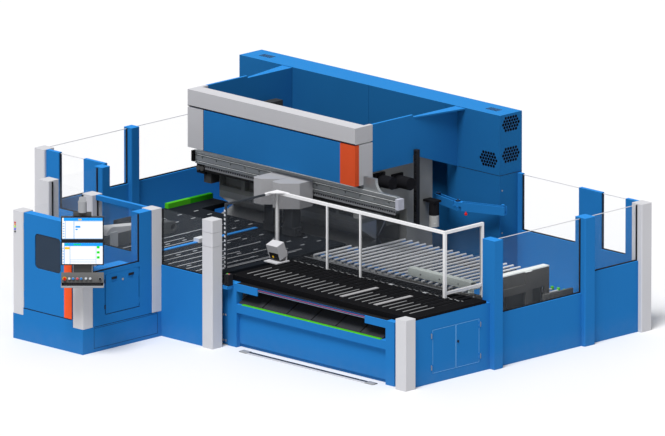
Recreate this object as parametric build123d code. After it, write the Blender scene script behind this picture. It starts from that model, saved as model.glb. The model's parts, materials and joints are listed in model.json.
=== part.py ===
from build123d import *
import os

# Panel bender cell: bending unit under a hood, sheet tables, guards and an operator console.
# Lengths are millimetres. X runs along the bend line, the operator stands at -Y, Z is up.

# Shared clearances and finishes
overrun = 10.0
running_gap = 3.0
seat_gap = 0.3
pin_clearance = 0.3
post_bevel = 10.0

# Cell outline and fence
cell_length = 8250.0
cell_depth = 6470.0
fence_height = 1800.0
sill_height = 1000.0
low_sill_height = 745.0
post_side = 200.0
blue_post_side = 160.0
panel_thickness = 60.0
post_proud = 38.0
side_inset = 91.5
side_post_inset = 24.0
glass_thickness = 10.0
glass_drop = 13.0
left_bay_width = 1347.0
left_bay_y = 1187.0
left_post_y = 1182.0
right_post_y = 144.0
right_second_post_y = 1926.0
right_glass_height = 1787.0
front_left_post_from_left = 4537.7
front_right_post_height = 985.0
groove_heights = (1430.0, 1630.0)
groove_depth = 6.0
groove_width = 8.0
left_frame_widths = (252.0, 407.0)
rear_bay_shares = (0.4995, 0.6926, 0.9034)
rear_stile_width = 75.0

# Console enclosure
console_from_left = 2348.0
console_width = 1362.0
console_depth = 1500.0
plinth_height = 355.0
kick_height = 460.0
console_wall = 40.0
door_thickness = 140.0
door_gap = 18.0
stripe_width = 145.0
stripe_thickness = 10.0
door_window_width = 504.0
door_window_height = 490.0
door_window_base = 1060.0
door_window_from_left = 213.0
door_window_radius = 60.0
door_window_depth = 25.0
window_sill = 1115.0
console_blue_post_depth = 232.0
console_blue_share = 0.7
small_door_width = 630.0
small_door_base = 500.0
small_door_height = 550.0
small_door_thickness = 20.0
small_cabinet_depth = 350.0
small_cabinet_wall = 15.0
slot_width = 90.0
slot_height = 42.0
slot_depth = 8.0
lock_radius = 14.0
lock_reach = 6.0
top_rail_height = 70.0
lamp_heights = (1505.0, 1540.0, 1576.0, 1604.0, 1632.0)
lamp_radius = 12.0
lamp_reach = 10.0
lamp_inset = 48.0

# Door hinges
knuckle_radius = 6.0
knuckle_length = 90.0
hinge_pin_radius = 3.5
hinge_end_share = 0.14
leaf_thickness = 3.0

# Operator panel
arm_spigot_radius = 26.0
arm_spigot_height = 70.0
arm_tube_radius = 44.0
arm_top_height = 2180.0
arm_width = 96.0
arm_height = 80.0
arm_head_radius = 60.0
mount_plate_width = 250.0
mount_plate_thickness = 30.0
mount_plate_base = 1000.0
mount_plate_top = 2030.0
mount_plate_distance = 205.0
monitor_width = 580.0
monitor_height = 326.0
monitor_depth = 48.0
monitor_base = 1300.0
monitor_pitch = 352.0
monitor_bezel = 14.0
screen_recess = 4.0
key_panel_base = 1045.0
key_panel_height = 142.0
key_panel_depth = 60.0
key_shelf_depth = 210.0
key_shelf_thickness = 22.0
keyboard_rise = 9.0
keyboard_margin = 30.0
button_radius = 13.0
button_reach = 10.0
button_place_shares = (-0.31, -0.22, -0.12, -0.03, 0.08, 0.18, 0.41)
emergency_place_share = -0.42
emergency_collar_radius = 30.0
emergency_collar_reach = 8.0
emergency_head_radius = 21.0
emergency_head_length = 16.0
emergency_stem_radius = 9.0
emergency_travel = 6.0

# Rear beam and its columns
rear_beam_from_left = 669.0
rear_beam_length = 5076.0
rear_beam_depth = 436.0
rear_beam_base = 1817.0
rear_beam_top = 2667.0
rear_beam_inset = 15.0
column_width = 1008.0
seam_width = 8.0
seam_depth = 6.0
column_seam_height = 950.0
beam_seam_shares = (0.205, 0.5, 0.795)
vent_hole_radius = 20.0
vent_hole_depth = 40.0
vent_pitch = 50.0
vent_row_counts = (5, 6, 7, 6, 5)
vent_row_share = 0.866
vent_heights = (2525.0, 2088.0)
vent_front_height = 2020.0
vent_front_inset = 214.0
slot_bank_count = 6
slot_bank_pitch = 38.0
slot_bank_length = 120.0
slot_bank_width = 16.0
slot_bank_inset = 330.0

# Bending unit: bed, C-frames, clamp and blades
hood_from_left = 1667.0
hood_length = 3264.0
hood_setback = 2524.0
frame_inset = 106.0
frame_plate = 140.0
frame_front_setback = 211.0
frame_depth = 1400.0
frame_height = 2300.0
throat_depth = 900.0
throat_base = 800.0
throat_top = 1350.0
frame_slope = 260.0
bed_height = 560.0
die_depth = 290.0
die_setback = 160.0
fork_width = 260.0
fork_height = 110.0
fork_place_share = 0.27
sheet_height = 970.0
die_tip = 46.0
tie_depth = 400.0
tie_height = 420.0
tie_base = 1720.0
tie_wall = 40.0
holder_depth = 420.0
holder_base = 1240.0
holder_height = 640.0
holder_recess = 90.0
holder_bay_count = 6
holder_rib = 70.0
tool_count = 22
tool_gap = 2.0
tool_tip = 24.0
sheet_gap = 2.0
saddle_setback = 560.0
saddle_depth = 470.0
saddle_height = 90.0
blade_back = 230.0
blade_arm = 130.0
blade_throat = 260.0
blade_tip = 14.0
blade_root = 60.0
blade_length = 150.0
blade_arm_reach = 250.0

# Hood covers
cover_thickness = 40.0
band_base = 2460.0
band_top = 2690.0
band_depth = 228.0
band_return = 339.0
band_wall = 60.0
cover_base = 1870.0
cover_top = 2440.0
cover_corner_width = 310.0
hood_stripe_width = 291.0
hood_stripe_wrap = 77.0
side_panel_base = 2016.0
side_panel_depth = 790.0
gusset_top = 2660.0
gusset_front_base = 2120.0
flange_width = 150.0
flange_thickness = 20.0

# Tool rail and its two carriages
rail_from_hood = 9.0
rail_length = 3914.0
rail_base = 1620.0
rail_top = 1810.0
rail_thickness = 76.0
rail_groove = 30.0
rail_groove_depth = 22.0
rail_groove_heights = (1652.0, 1748.0)
rail_hole_count = 14
rail_hole_radius = 13.0
rail_hole_height = 1715.0
web_top = 1990.0
web_thickness = 46.0
web_right_inset = 430.0
web_fillet = 150.0
rail_end_length = 60.0
rail_end_height = 150.0
rail_end_depth = 110.0
carriage_width = 362.0
carriage_pitch = 368.0
carriage_depth = 446.0
carriage_base = 1410.0
carriage_top = 1770.0
carriage_from_hood = 1579.0
carriage_chamfer = 194.0
carriage_small_chamfer = 30.0
gripper_side = 170.0
gripper_base = 1010.0
gripper_jaw_height = 120.0
gripper_jaw_width = 260.0
gripper_jaw_depth = 130.0
gripper_slot = 20.0

# Motors, light curtain and swing arm beside the right frame
motor_radius = 88.0
motor_length = 250.0
motor_flange = 210.0
motor_flange_thickness = 30.0
motor_depth_shares = (0.25, 0.5)
motor_heights = (1850.0, 1780.0)
lift_motor_radius = 70.0
lift_motor_length = 340.0
lift_motor_top = 1400.0
lift_motor_reach = 145.0
lift_motor_depth_share = 0.92
curtain_side = 60.0
curtain_base = 1100.0
curtain_top = 2200.0
curtain_setback = 9.0
curtain_hole_count = 12
curtain_hole_share = 0.5
arm_base_from_column = 28.0
arm_base_out = 207.0
arm_channel_height = 120.0
arm_channel_width = 84.0
arm_channel_wall = 12.0
arm_base_height = 1310.0
inner_arm_length = 508.0
inner_arm_angle = -13.2
outer_arm_length = 681.0
outer_arm_angle = 19.9
arm_pin_radius = 16.0
arm_knob_radius = 30.0
arm_knob_height = 26.0

# Working table
table_height = 970.0
working_table_thickness = 60.0
working_table_from_left = 4555.0
working_table_gap = 12.0
wing_width = 368.0
wing_length = 530.0
leg_side = 100.0
pad_length = 74.0
pad_width = 20.0
pad_height = 5.0
pad_columns = 10
pad_rows = 8
track_from_left = 3071.0
track_width = 64.0
track_height = 14.0
track_front_inset = 503.0
track_length = 1802.0
slider_length = 130.0
slider_width = 110.0
slider_height = 62.0
slider_from_track = 640.0
loading_arm_from_left = 2360.0
loading_arm_inset = 165.0
loading_arm_length = 1151.0
loading_arm_width = 165.0
loading_arm_root_radius = 140.0
loading_arm_eye_radius = 77.0
loading_arm_hole = 44.0
loading_pin_radius = 24.0
loading_lug = 20.0
green_bar_width = 68.0
green_bar_height = 70.0
green_bar_length = 871.0

# Feed table and its frame
feed_from_left = 4660.0
feed_front_setback = 389.0
feed_depth = 1424.0
feed_thickness = 37.0
feed_lip = 75.0
feed_lip_thickness = 10.0
feed_slot_pitch = 130.0
feed_slot_width = 40.0
feed_front_margin = 180.0
feed_side_margin = 70.0
feed_slot_lengths = (490.0, 420.0, 190.0)
feed_slot_spaces = (30.0, 80.0)
feed_bar_length = 700.0
feed_bar_width = 64.0
feed_bar_height = 8.0
feed_bar_place_shares = (0.58, 0.77)
frame_leg_width = 170.0
frame_front_depth = 110.0
frame_left_offset = 58.0
frame_right_offset = 405.0
lower_beam_base = 490.0
lower_beam_height = 120.0
lower_panel_recess = 61.0
foot_height = 50.0
foot_recess = 30.0
front_rail_height = 47.0
top_rail_depth = 94.0
bracket_height = 105.0
bracket_length = 400.0
bracket_thickness = 14.0
rear_beam_height = 120.0
strip_width = 36.0
strip_height = 12.0
chute_thickness = 10.0
chute_length = 480.0
chute_top = 855.0
floor_strip_width = 55.0
floor_strip_height = 12.0
floor_strip_front = 121.0
floor_strip_inset = 426.0
floor_strip_right_inset = 502.5
control_box_width = 82.0
control_box_depth = 90.0
control_box_base = 860.0
control_box_height = 160.0
control_button_radius = 16.0
control_button_reach = 12.0

# Side cabinet
cabinet_width = 393.0
cabinet_wall = 20.0
cabinet_door_base = 130.0
cabinet_door_height = 620.0
cabinet_door_span = 909.0
cabinet_door_inset = 372.0
cabinet_door_gap = 4.0
latch_radius = 18.0
latch_reach = 14.0
latch_shaft_radius = 6.0
latch_height = 500.0
latch_inset = 40.0
latch_cam_length = 60.0
latch_cam_width = 14.0
latch_cam_thickness = 4.0

# Belt conveyor
conveyor_from_left = 4570.0
conveyor_right_inset = 476.5
conveyor_front_y = 271.0
conveyor_depth = 1512.0
belt_pitch = 130.0
belt_radius = 16.0
belt_margin = 82.0
conveyor_beam_depth = 80.0
conveyor_beam_base = 800.0
conveyor_beam_top = 890.0
belt_bracket_width = 54.0
belt_bracket_height = 44.0
shaft_radius = 18.0
roller_radius = 42.0
shaft_setback = 70.0
bearing_side = 70.0
side_rail_height = 223.0
side_rail_flange = 110.0
side_rail_flange_thickness = 12.0
lower_rail_base = 789.0
lower_rail_height = 106.0
lower_rail_length = 470.0
middle_leg_from_front = 1031.0
middle_leg_width = 126.0
side_rail_thickness = 30.0
side_rail_front = 580.0
cross_box_height = 90.0
cross_box_depth = 90.0
cross_box_length = 1420.0

# Inner guard, pedestal
guard_from_left = 4425.0
guard_post_side = 40.0
guard_slim_side = 26.0
guard_top = 1900.0
guard_front_y = -1201.0
guard_line_y = -213.0
guard_right_inset = 506.5
guard_return_y = 504.0
guard_middle_distances = (971.0, 1610.0)
guard_glass = 8.0
guard_bar_base = 1010.0
gusset_side = 220.0
gusset_thickness = 10.0
pedestal_base_side = 250.0
pedestal_base_height = 14.0
pedestal_width = 213.0
pedestal_depth = 144.0
pedestal_height = 211.0
pedestal_wall = 8.0
pedestal_lift = 150.0
pedestal_tilt = 20.0
pedestal_plate_share = 0.6
pedestal_from_left = 4605.0
pedestal_y = -400.0

# Lines that the plan is drawn from
left_x = -cell_length / 2
right_x = cell_length / 2
front_y = -cell_depth / 2
rear_y = cell_depth / 2
front_line_y = front_y + console_depth
side_x = right_x - side_inset
glass_top = fence_height - glass_drop
console_left_x = left_x + console_from_left
console_right_x = console_left_x + console_width
return_x = left_x + left_bay_width
bay_y = front_line_y + left_bay_y
hood_left_x = left_x + hood_from_left
hood_right_x = hood_left_x + hood_length
hood_front_y = front_line_y + hood_setback
beam_left_x = left_x + rear_beam_from_left
beam_right_x = beam_left_x + rear_beam_length
beam_rear_y = rear_y - rear_beam_inset
beam_front_y = beam_rear_y - rear_beam_depth
feed_front_y = front_line_y + feed_front_setback
feed_rear_y = feed_front_y + feed_depth
frame_front_y = feed_front_y - frame_front_depth
front_left_post_x = left_x + front_left_post_from_left
working_table_right_x = left_x + working_table_from_left
track_x = left_x + track_from_left
loading_arm_x = left_x + loading_arm_from_left
feed_left_x = left_x + feed_from_left
conveyor_left_x = left_x + conveyor_from_left
conveyor_right_x = side_x - conveyor_right_inset
guard_x = left_x + guard_from_left
guard_right_x = side_x - guard_right_inset
guard_middle_xs = [guard_x + distance for distance in guard_middle_distances]
pedestal_x = left_x + pedestal_from_left

pieces = {}


def block(x, y, z):
    """Box between the two limits given for each axis."""
    size = Box(x[1] - x[0], y[1] - y[0], z[1] - z[0])
    return Pos((x[0] + x[1]) / 2, (y[0] + y[1]) / 2, (z[0] + z[1]) / 2) * size


def span(start, size):
    """Limits of a stretch of the given size."""
    return (start, start + size)


def about(centre, size):
    """Limits of a stretch of the given size around a centre."""
    return (centre - size / 2, centre + size / 2)


def along_x(points, limits):
    """Outline of (y, z) points drawn out along X."""
    face = Face(Wire.make_polygon([(limits[0], y, z) for y, z in points], close=True))
    return extrude(face, amount=limits[1] - limits[0], dir=(1, 0, 0))


def along_z(points, limits):
    """Outline of (x, y) points drawn out along Z."""
    face = Face(Wire.make_polygon([(x, y, limits[0]) for x, y in points], close=True))
    return extrude(face, amount=limits[1] - limits[0], dir=(0, 0, 1))


def rod_x(limits, y, z, radius):
    return Pos(sum(limits) / 2, y, z) * Rot(0, 90, 0) * Cylinder(radius, limits[1] - limits[0])


def rod_y(x, limits, z, radius):
    return Pos(x, sum(limits) / 2, z) * Rot(90, 0, 0) * Cylinder(radius, limits[1] - limits[0])


def rod_z(x, y, limits, radius):
    return Pos(x, y, sum(limits) / 2) * Cylinder(radius, limits[1] - limits[0])


def keep(name, *shapes):
    """Store the solids of one piece, or of one group of like pieces, under its name."""
    solids = [solid for shape in shapes for solid in shape.solids()]
    pieces[name] = Compound(solids) if len(solids) > 1 else solids[0]


def joined(first, *others):
    """One body from shapes that run into each other."""
    return first + list(others)


def hinge(x, y, base, height, fixed_leaf, moving_leaf):
    """Two hinges on an upright edge: moving sleeves on fixed pins with a middle sleeve, each with a leaf."""
    moving = []
    fixed = []
    third = knuckle_length / 3
    for centre in (base + height * hinge_end_share, base + height * (1 - hinge_end_share)):
        low = centre - knuckle_length / 2
        bore = rod_z(x, y, (low - overrun, low + knuckle_length + overrun), hinge_pin_radius + pin_clearance)
        for start, leaf in ((low, moving_leaf), (low + third, fixed_leaf), (low + third * 2, moving_leaf)):
            limits = span(start, third - seat_gap)
            sleeve = rod_z(x, y, limits, knuckle_radius)
            plate = block((x + leaf[0][0], x + leaf[0][1]), (y + leaf[1][0], y + leaf[1][1]), limits)
            if leaf is moving_leaf:
                moving.append(sleeve + plate - bore)
            else:
                pin = rod_z(x, y, span(low, knuckle_length - seat_gap), hinge_pin_radius)
                fixed.append(sleeve + plate + pin)
    return moving, fixed


# Fence posts, panels and glass
def post(x, y, side, limits):
    """Upright square post with bevelled corners, from its low corner."""
    body = block(span(x, side), span(y, side), limits)
    return chamfer(body.edges().filter_by(Axis.Z), post_bevel)


def grooved(body, x, y, side):
    """The same post with shallow grooves run round it."""
    for height in groove_heights:
        limits = about(height, groove_width)
        ring = block(span(x - overrun, side + overrun * 2), span(y - overrun, side + overrun * 2), limits)
        core = block(
            span(x + groove_depth, side - groove_depth * 2),
            span(y + groove_depth, side - groove_depth * 2),
            limits,
        )
        body = body - (ring - core)
    return body


full_height = (0, fence_height)
post_front_y = front_line_y - post_proud
side_post_x = right_x - side_post_inset - post_side
rear_post_y = rear_y - post_side
console_rear_post_y = front_line_y + post_proud / 2 - post_side
near_post_x = console_right_x - post_side
upper_posts = (plinth_height, fence_height)
front_right_post_y = feed_front_y - post_side

grey_posts = [
    post(console_left_x, front_y, post_side, upper_posts),
    post(near_post_x, front_y, post_side, upper_posts),
    post(console_left_x, console_rear_post_y, post_side, upper_posts),
    post(near_post_x, console_rear_post_y, post_side, upper_posts),
    post(return_x, post_front_y, post_side, full_height),
    grooved(
        post(front_left_post_x, post_front_y, post_side, full_height),
        front_left_post_x,
        post_front_y,
        post_side,
    ),
    post(side_post_x, front_right_post_y, post_side, (0, front_right_post_height)),
    post(left_x, bay_y, post_side, full_height),
    post(side_post_x, rear_post_y, post_side, full_height),
]
near_axis_x = near_post_x + post_side / 2
near_axis_y = front_y + post_side / 2
spigot = rod_z(near_axis_x, near_axis_y, span(fence_height, arm_spigot_height), arm_spigot_radius)
grey_posts[1] = grey_posts[1] + spigot
keep("fence_posts_grey", *grey_posts)

bay_corner_y = bay_y - blue_post_side
left_line_x = left_x + post_proud
left_panel = span(left_line_x, panel_thickness)
rear_panel_y = span(rear_y - post_proud - panel_thickness, panel_thickness)
right_panel = (side_x - panel_thickness, side_x)
front_panel = span(front_line_y, panel_thickness)
bay_panel = span(bay_y + post_proud, panel_thickness)
return_panel = span(return_x + post_proud, panel_thickness)
right_first_y = right_post_y + blue_post_side
right_second_y = right_second_post_y + post_side
stile_x = beam_right_x + rear_stile_width
frame_start_x, window_start_x, frame_end_x = [
    stile_x + (side_post_x - stile_x) * share for share in rear_bay_shares
]
bay_left_x = left_x + post_side + left_frame_widths[0]
bay_right_x = return_x - left_frame_widths[1]
console_blue_y = console_rear_post_y - console_blue_post_depth
console_blue_x = console_right_x - console_blue_post_depth * console_blue_share
wall_right = (console_right_x - console_wall, console_right_x)

keep(
    "fence_posts_blue",
    post(return_x, bay_corner_y, blue_post_side, full_height),
    post(left_x, left_post_y, blue_post_side, full_height),
    post(left_x, rear_post_y, post_side, full_height),
    post(right_x - blue_post_side * 1.5, right_post_y, blue_post_side, full_height)
    + block((right_x - blue_post_side, right_x), span(right_post_y, blue_post_side), full_height),
    post(side_post_x, right_second_post_y, post_side, full_height),
    block((left_x + post_side, bay_left_x), bay_panel, full_height),
    block((bay_right_x, return_x), bay_panel, full_height),
    block((beam_right_x, stile_x), rear_panel_y, full_height),
    block((frame_start_x, window_start_x), rear_panel_y, full_height),
    block((frame_end_x, side_post_x), rear_panel_y, full_height),
    post(console_blue_x, console_blue_y, console_right_x - console_blue_x, upper_posts)
    + block(
        (console_blue_x, console_right_x),
        (console_blue_y, console_rear_post_y),
        upper_posts,
    ),
    block(
        (console_left_x + post_side, near_post_x),
        about(console_rear_post_y + post_side / 2, panel_thickness),
        (fence_height - top_rail_height, fence_height),
    ),
)

# Each stretch of fence: X limits, Y limits, sill height
stretches = [
    ((return_x + post_side, console_left_x), front_panel, sill_height, glass_top),
    ((console_right_x, front_left_post_x), front_panel, sill_height, glass_top),
    (return_panel, (post_front_y + post_side, bay_corner_y), sill_height, glass_top),
    ((bay_left_x, bay_right_x), bay_panel, sill_height, glass_top),
    (left_panel, (bay_y + post_side, left_post_y), sill_height, glass_top),
    (left_panel, (left_post_y + blue_post_side, rear_post_y), sill_height, glass_top),
    ((left_x + post_side, beam_left_x), rear_panel_y, sill_height, glass_top),
    ((stile_x, frame_start_x), rear_panel_y, sill_height, glass_top),
    ((window_start_x, frame_end_x), rear_panel_y, sill_height, glass_top),
    (right_panel, (right_first_y, right_second_post_y), low_sill_height, right_glass_height),
    (right_panel, (right_second_y, rear_post_y), sill_height, right_glass_height),
]
panels = []
panes = []
for x, y, sill, top in stretches:
    panels.append(block(x, y, (0, sill)))
    runs_along_x = y in (front_panel, bay_panel, rear_panel_y)
    pane_x = x if runs_along_x else about(sum(x) / 2, glass_thickness)
    pane_y = about(sum(y) / 2, glass_thickness) if runs_along_x else y
    panes.append(block(pane_x, pane_y, (sill, top)))
keep("fence_panels", *panels)

# Console windows on both flanks and over the rear wall
front_post_rear_y = front_y + post_side
window_x = about(sum(wall_right) / 2, glass_thickness)
panes.append(block(window_x, (front_post_rear_y, console_blue_y), (window_sill, glass_top)))
wall_left = span(console_left_x, console_wall)
left_window_x = about(sum(wall_left) / 2, glass_thickness)
panes.append(block(left_window_x, (front_post_rear_y, console_rear_post_y), (window_sill, glass_top)))
rear_wall_y = about(console_rear_post_y + post_side / 2, console_wall)
panes.append(
    block(
        (console_left_x + post_side, near_post_x),
        about(sum(rear_wall_y) / 2, glass_thickness),
        (window_sill, fence_height - top_rail_height),
    )
)
keep("fence_glass", *panes)

# Console: plinth, walls with the small cabinet, doors and lamps
console_x = (console_left_x, console_right_x)
keep("console_plinth", block(console_x, (front_y, console_rear_post_y + post_side), (0, plinth_height)))

small_door_far_y = console_blue_y - door_gap
small_door_y = (small_door_far_y - small_door_width, small_door_far_y)
small_door_z = span(small_door_base, small_door_height)
wall_z = (plinth_height, window_sill)
opening_y = (small_door_y[0] - door_gap, console_blue_y)
opening_z = (small_door_z[0] - running_gap, small_door_z[1] + running_gap)
opening = block((wall_right[0] - overrun, wall_right[1] + overrun), opening_y, opening_z)
case_x = (wall_right[0] - small_cabinet_depth, wall_right[0])
case_y = (opening_y[0] - small_cabinet_wall, opening_y[1])
case_z = (opening_z[0] - small_cabinet_wall, opening_z[1] + small_cabinet_wall)
case = block(case_x, case_y, case_z) - block(
    (case_x[0] + small_cabinet_wall, case_x[1] + overrun),
    (case_y[0] + small_cabinet_wall, case_y[1] - small_cabinet_wall),
    opening_z,
)
right_wall = block(wall_right, (front_post_rear_y, console_blue_y), wall_z) - opening
leaf_half = leaf_thickness / 2
small_hinge_y = console_blue_y - door_gap / 2
small_moving, small_fixed = hinge(
    console_right_x - knuckle_radius,
    small_hinge_y,
    small_door_base,
    small_door_height,
    ((-leaf_half, leaf_half), (0, door_gap / 2)),
    ((-leaf_half, leaf_half), (-door_gap / 2, 0)),
)
door_left_x = console_left_x + post_side + door_gap
door_right_x = near_post_x - door_gap
door_hinge_x = door_left_x - door_gap / 2
door_hinge_y = front_y + post_bevel + leaf_half
door_z = (kick_height + running_gap, fence_height)
door_moving, door_fixed = hinge(
    door_hinge_x,
    door_hinge_y,
    door_z[0],
    door_z[1] - door_z[0],
    ((-door_gap / 2, 0), (-leaf_half, leaf_half)),
    ((0, door_gap / 2), (-leaf_half, leaf_half)),
)
keep(
    "console_walls",
    right_wall + case,
    block(wall_left, (front_post_rear_y, console_rear_post_y), wall_z),
    block((console_left_x + post_side, near_post_x), rear_wall_y, wall_z),
    block(
        (console_left_x + post_side, near_post_x),
        span(front_y, panel_thickness),
        (plinth_height, kick_height),
    ),
    *small_fixed,
    *door_fixed,
)

door_y = span(front_y, door_thickness)
door_x = (door_left_x, door_right_x)
stripe_x = (door_right_x - stripe_width, door_right_x)
stripe_y = span(front_y, stripe_thickness)
pane_centre_x = door_left_x + door_window_from_left + door_window_width / 2
pane_centre_z = door_window_base + door_window_height / 2
pane_shape = RectangleRounded(door_window_width, door_window_height, door_window_radius)
pane_face = Plane.XZ.offset(-front_y) * Pos(pane_centre_x, pane_centre_z) * pane_shape
pane = extrude(pane_face, amount=-door_window_depth)
door_body = block(door_x, door_y, door_z) - block(stripe_x, stripe_y, door_z) - pane
keep("console_door", joined(door_body, *door_moving))
pane_core = extrude(
    Plane.XZ.offset(-front_y - stripe_thickness) * Pos(pane_centre_x, pane_centre_z) * pane_shape,
    amount=stripe_thickness - door_window_depth,
)
keep("console_door_window", pane_core)
keep("console_door_stripe", block(stripe_x, stripe_y, door_z))

small_x = (console_right_x - small_door_thickness, console_right_x)
small_door = block(small_x, small_door_y, small_door_z)
slot_z = span(small_door_z[1] - slot_height * 3, slot_height)
for share in (1 / 4, 3 / 4):
    slot_y = about(small_door_y[0] + small_door_width * share, slot_width)
    small_door = small_door - block((console_right_x - slot_depth, console_right_x + overrun), slot_y, slot_z)
lock_y = sum(small_door_y) / 2
lock_x = span(console_right_x - lock_reach, lock_reach * 2)
small_door = small_door + rod_x(lock_x, lock_y, slot_z[0], lock_radius)
keep("small_door", joined(small_door, *small_moving))

lamp_x = console_left_x + lamp_inset
keep("status_lights", *[rod_y(lamp_x, (front_y - lamp_reach, front_y), z, lamp_radius) for z in lamp_heights])

# Operator panel, drawn facing -Y about its post and then turned to face the corner
panel_place = Pos(near_axis_x, near_axis_y, 0) * Rot(0, 0, 45)
plate_front = -mount_plate_distance - mount_plate_thickness
arm_y = (plate_front - mount_plate_distance) / 2
tube = rod_z(0, 0, (fence_height + seat_gap, arm_top_height), arm_tube_radius)
tube_bore = rod_z(
    0, 0, (fence_height, fence_height + arm_spigot_height + seat_gap), arm_spigot_radius + pin_clearance
)
arm_bar = block(about(0, arm_width), (arm_y, 0), (arm_top_height - arm_height, arm_top_height))
arm_head = rod_z(0, arm_y, (mount_plate_top, arm_top_height), arm_head_radius)
keep("monitor_arm", panel_place * (joined(tube, arm_bar, arm_head) - tube_bore))
plate = block(
    about(0, mount_plate_width), (plate_front, -mount_plate_distance), (mount_plate_base, mount_plate_top)
)
keep("monitor_plate", panel_place * plate)
monitors = []
for base in (monitor_base, monitor_base + monitor_pitch):
    case_z = span(base, monitor_height)
    case = block(about(0, monitor_width), (plate_front - monitor_depth, plate_front), case_z)
    screen = block(
        about(0, monitor_width - monitor_bezel * 2),
        (plate_front - monitor_depth - overrun, plate_front - monitor_depth + screen_recess),
        (case_z[0] + monitor_bezel, case_z[1] - monitor_bezel),
    )
    monitors.append(panel_place * (case - screen))
keep("monitors", *monitors)

key_face = plate_front - key_panel_depth
button_z = key_panel_base + key_panel_height / 2
key_panel = joined(
    block(about(0, monitor_width), (key_face, plate_front), span(key_panel_base, key_panel_height)),
    block(
        about(0, monitor_width),
        (plate_front - key_shelf_depth, plate_front),
        (key_panel_base - key_shelf_thickness, key_panel_base),
    ),
    block(
        about(0, monitor_width - keyboard_margin * 2),
        (plate_front - key_shelf_depth + keyboard_margin, key_face - keyboard_margin),
        span(key_panel_base, keyboard_rise),
    ),
    *[rod_y(share * monitor_width, (key_face - button_reach, key_face), button_z, button_radius)
      for share in button_place_shares],
)
stop_x = emergency_place_share * monitor_width
collar_face = key_face - emergency_collar_reach
key_panel = key_panel + rod_y(stop_x, (collar_face, key_face), button_z, emergency_collar_radius)
stem_rear = key_face + emergency_collar_reach
stem_hole = rod_y(
    stop_x,
    (collar_face - overrun, stem_rear + emergency_travel * 2),
    button_z,
    emergency_stem_radius + pin_clearance,
)
keep("key_panel", panel_place * (key_panel - stem_hole))
head_rear = collar_face - emergency_travel - seat_gap
stop_head = rod_y(stop_x, (head_rear - emergency_head_length, head_rear), button_z, emergency_head_radius)
stop_stem = rod_y(stop_x, (head_rear, stem_rear), button_z, emergency_stem_radius)
keep("emergency_button", panel_place * (stop_head + stop_stem))

# Rear beam on two columns
beam_y = (beam_front_y, beam_rear_y)
beam_x = (beam_left_x, beam_right_x)
beam_z = (rear_beam_base, rear_beam_top)


def vent(place):
    """Hexagonal cluster of six-sided holes, drawn flat and then placed."""
    holes = []
    for row, count in enumerate(vent_row_counts):
        rise = (row - (len(vent_row_counts) - 1) / 2) * vent_pitch * vent_row_share
        for index in range(count):
            shift = (index - (count - 1) / 2) * vent_pitch
            outline = Pos(shift, rise) * RegularPolygon(vent_hole_radius, 6)
            holes.append(place * extrude(outline, amount=vent_hole_depth, both=True))
    return holes


cuts = []
beam_middle_y = sum(beam_y) / 2
for height in vent_heights:
    cuts += vent(Plane((beam_right_x, beam_middle_y, height), x_dir=(0, 1, 0), z_dir=(1, 0, 0)))
front_vent_x = beam_right_x - vent_front_inset
cuts += vent(Plane((front_vent_x, beam_front_y, vent_front_height), x_dir=(1, 0, 0), z_dir=(0, -1, 0)))
for middle in (beam_left_x + slot_bank_inset, beam_right_x - slot_bank_inset):
    for index in range(slot_bank_count):
        slot_x = about(middle + (index - (slot_bank_count - 1) / 2) * slot_bank_pitch, slot_bank_width)
        slot_y = about(beam_middle_y, slot_bank_length)
        cuts.append(block(slot_x, slot_y, (rear_beam_top - vent_hole_depth, rear_beam_top + overrun)))
for share in beam_seam_shares:
    seam_x = about(beam_left_x + rear_beam_length * share, seam_width)
    cuts.append(block(seam_x, (beam_front_y - overrun, beam_front_y + seam_depth), beam_z))
keep("rear_beam", block(beam_x, beam_y, beam_z) - cuts)

columns = []
for start in (beam_left_x, beam_right_x - column_width):
    column_x = span(start, column_width)
    column = block(column_x, beam_y, (0, rear_beam_base))
    seam_z = about(column_seam_height, seam_width)
    column = column - block(column_x, (beam_front_y - overrun, beam_front_y + seam_depth), seam_z)
    columns.append(column)
wall_x = (beam_left_x + column_width, beam_right_x - column_width)
columns.append(block(wall_x, (beam_rear_y - panel_thickness, beam_rear_y), (0, rear_beam_base)))

# Bending unit: C-frames, bed, tie beam, clamp and blades
frame_y = span(hood_front_y + frame_front_setback, frame_depth)
left_frame_x = span(hood_left_x + frame_inset, frame_plate)
right_frame_x = (hood_right_x - frame_inset - frame_plate, hood_right_x - frame_inset)
unit_x = (left_frame_x[1], right_frame_x[0])
throat_y = frame_y[0] + throat_depth
frame_outline = [
    (frame_y[0], 0),
    (frame_y[1], 0),
    (frame_y[1], frame_height),
    (frame_y[0] + frame_slope, frame_height),
    (frame_y[0], frame_height - frame_slope),
    (frame_y[0], throat_top),
    (throat_y, throat_top),
    (throat_y, throat_base),
    (frame_y[0], throat_base),
]
keep("side_frames", along_x(frame_outline, left_frame_x), along_x(frame_outline, right_frame_x))

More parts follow.
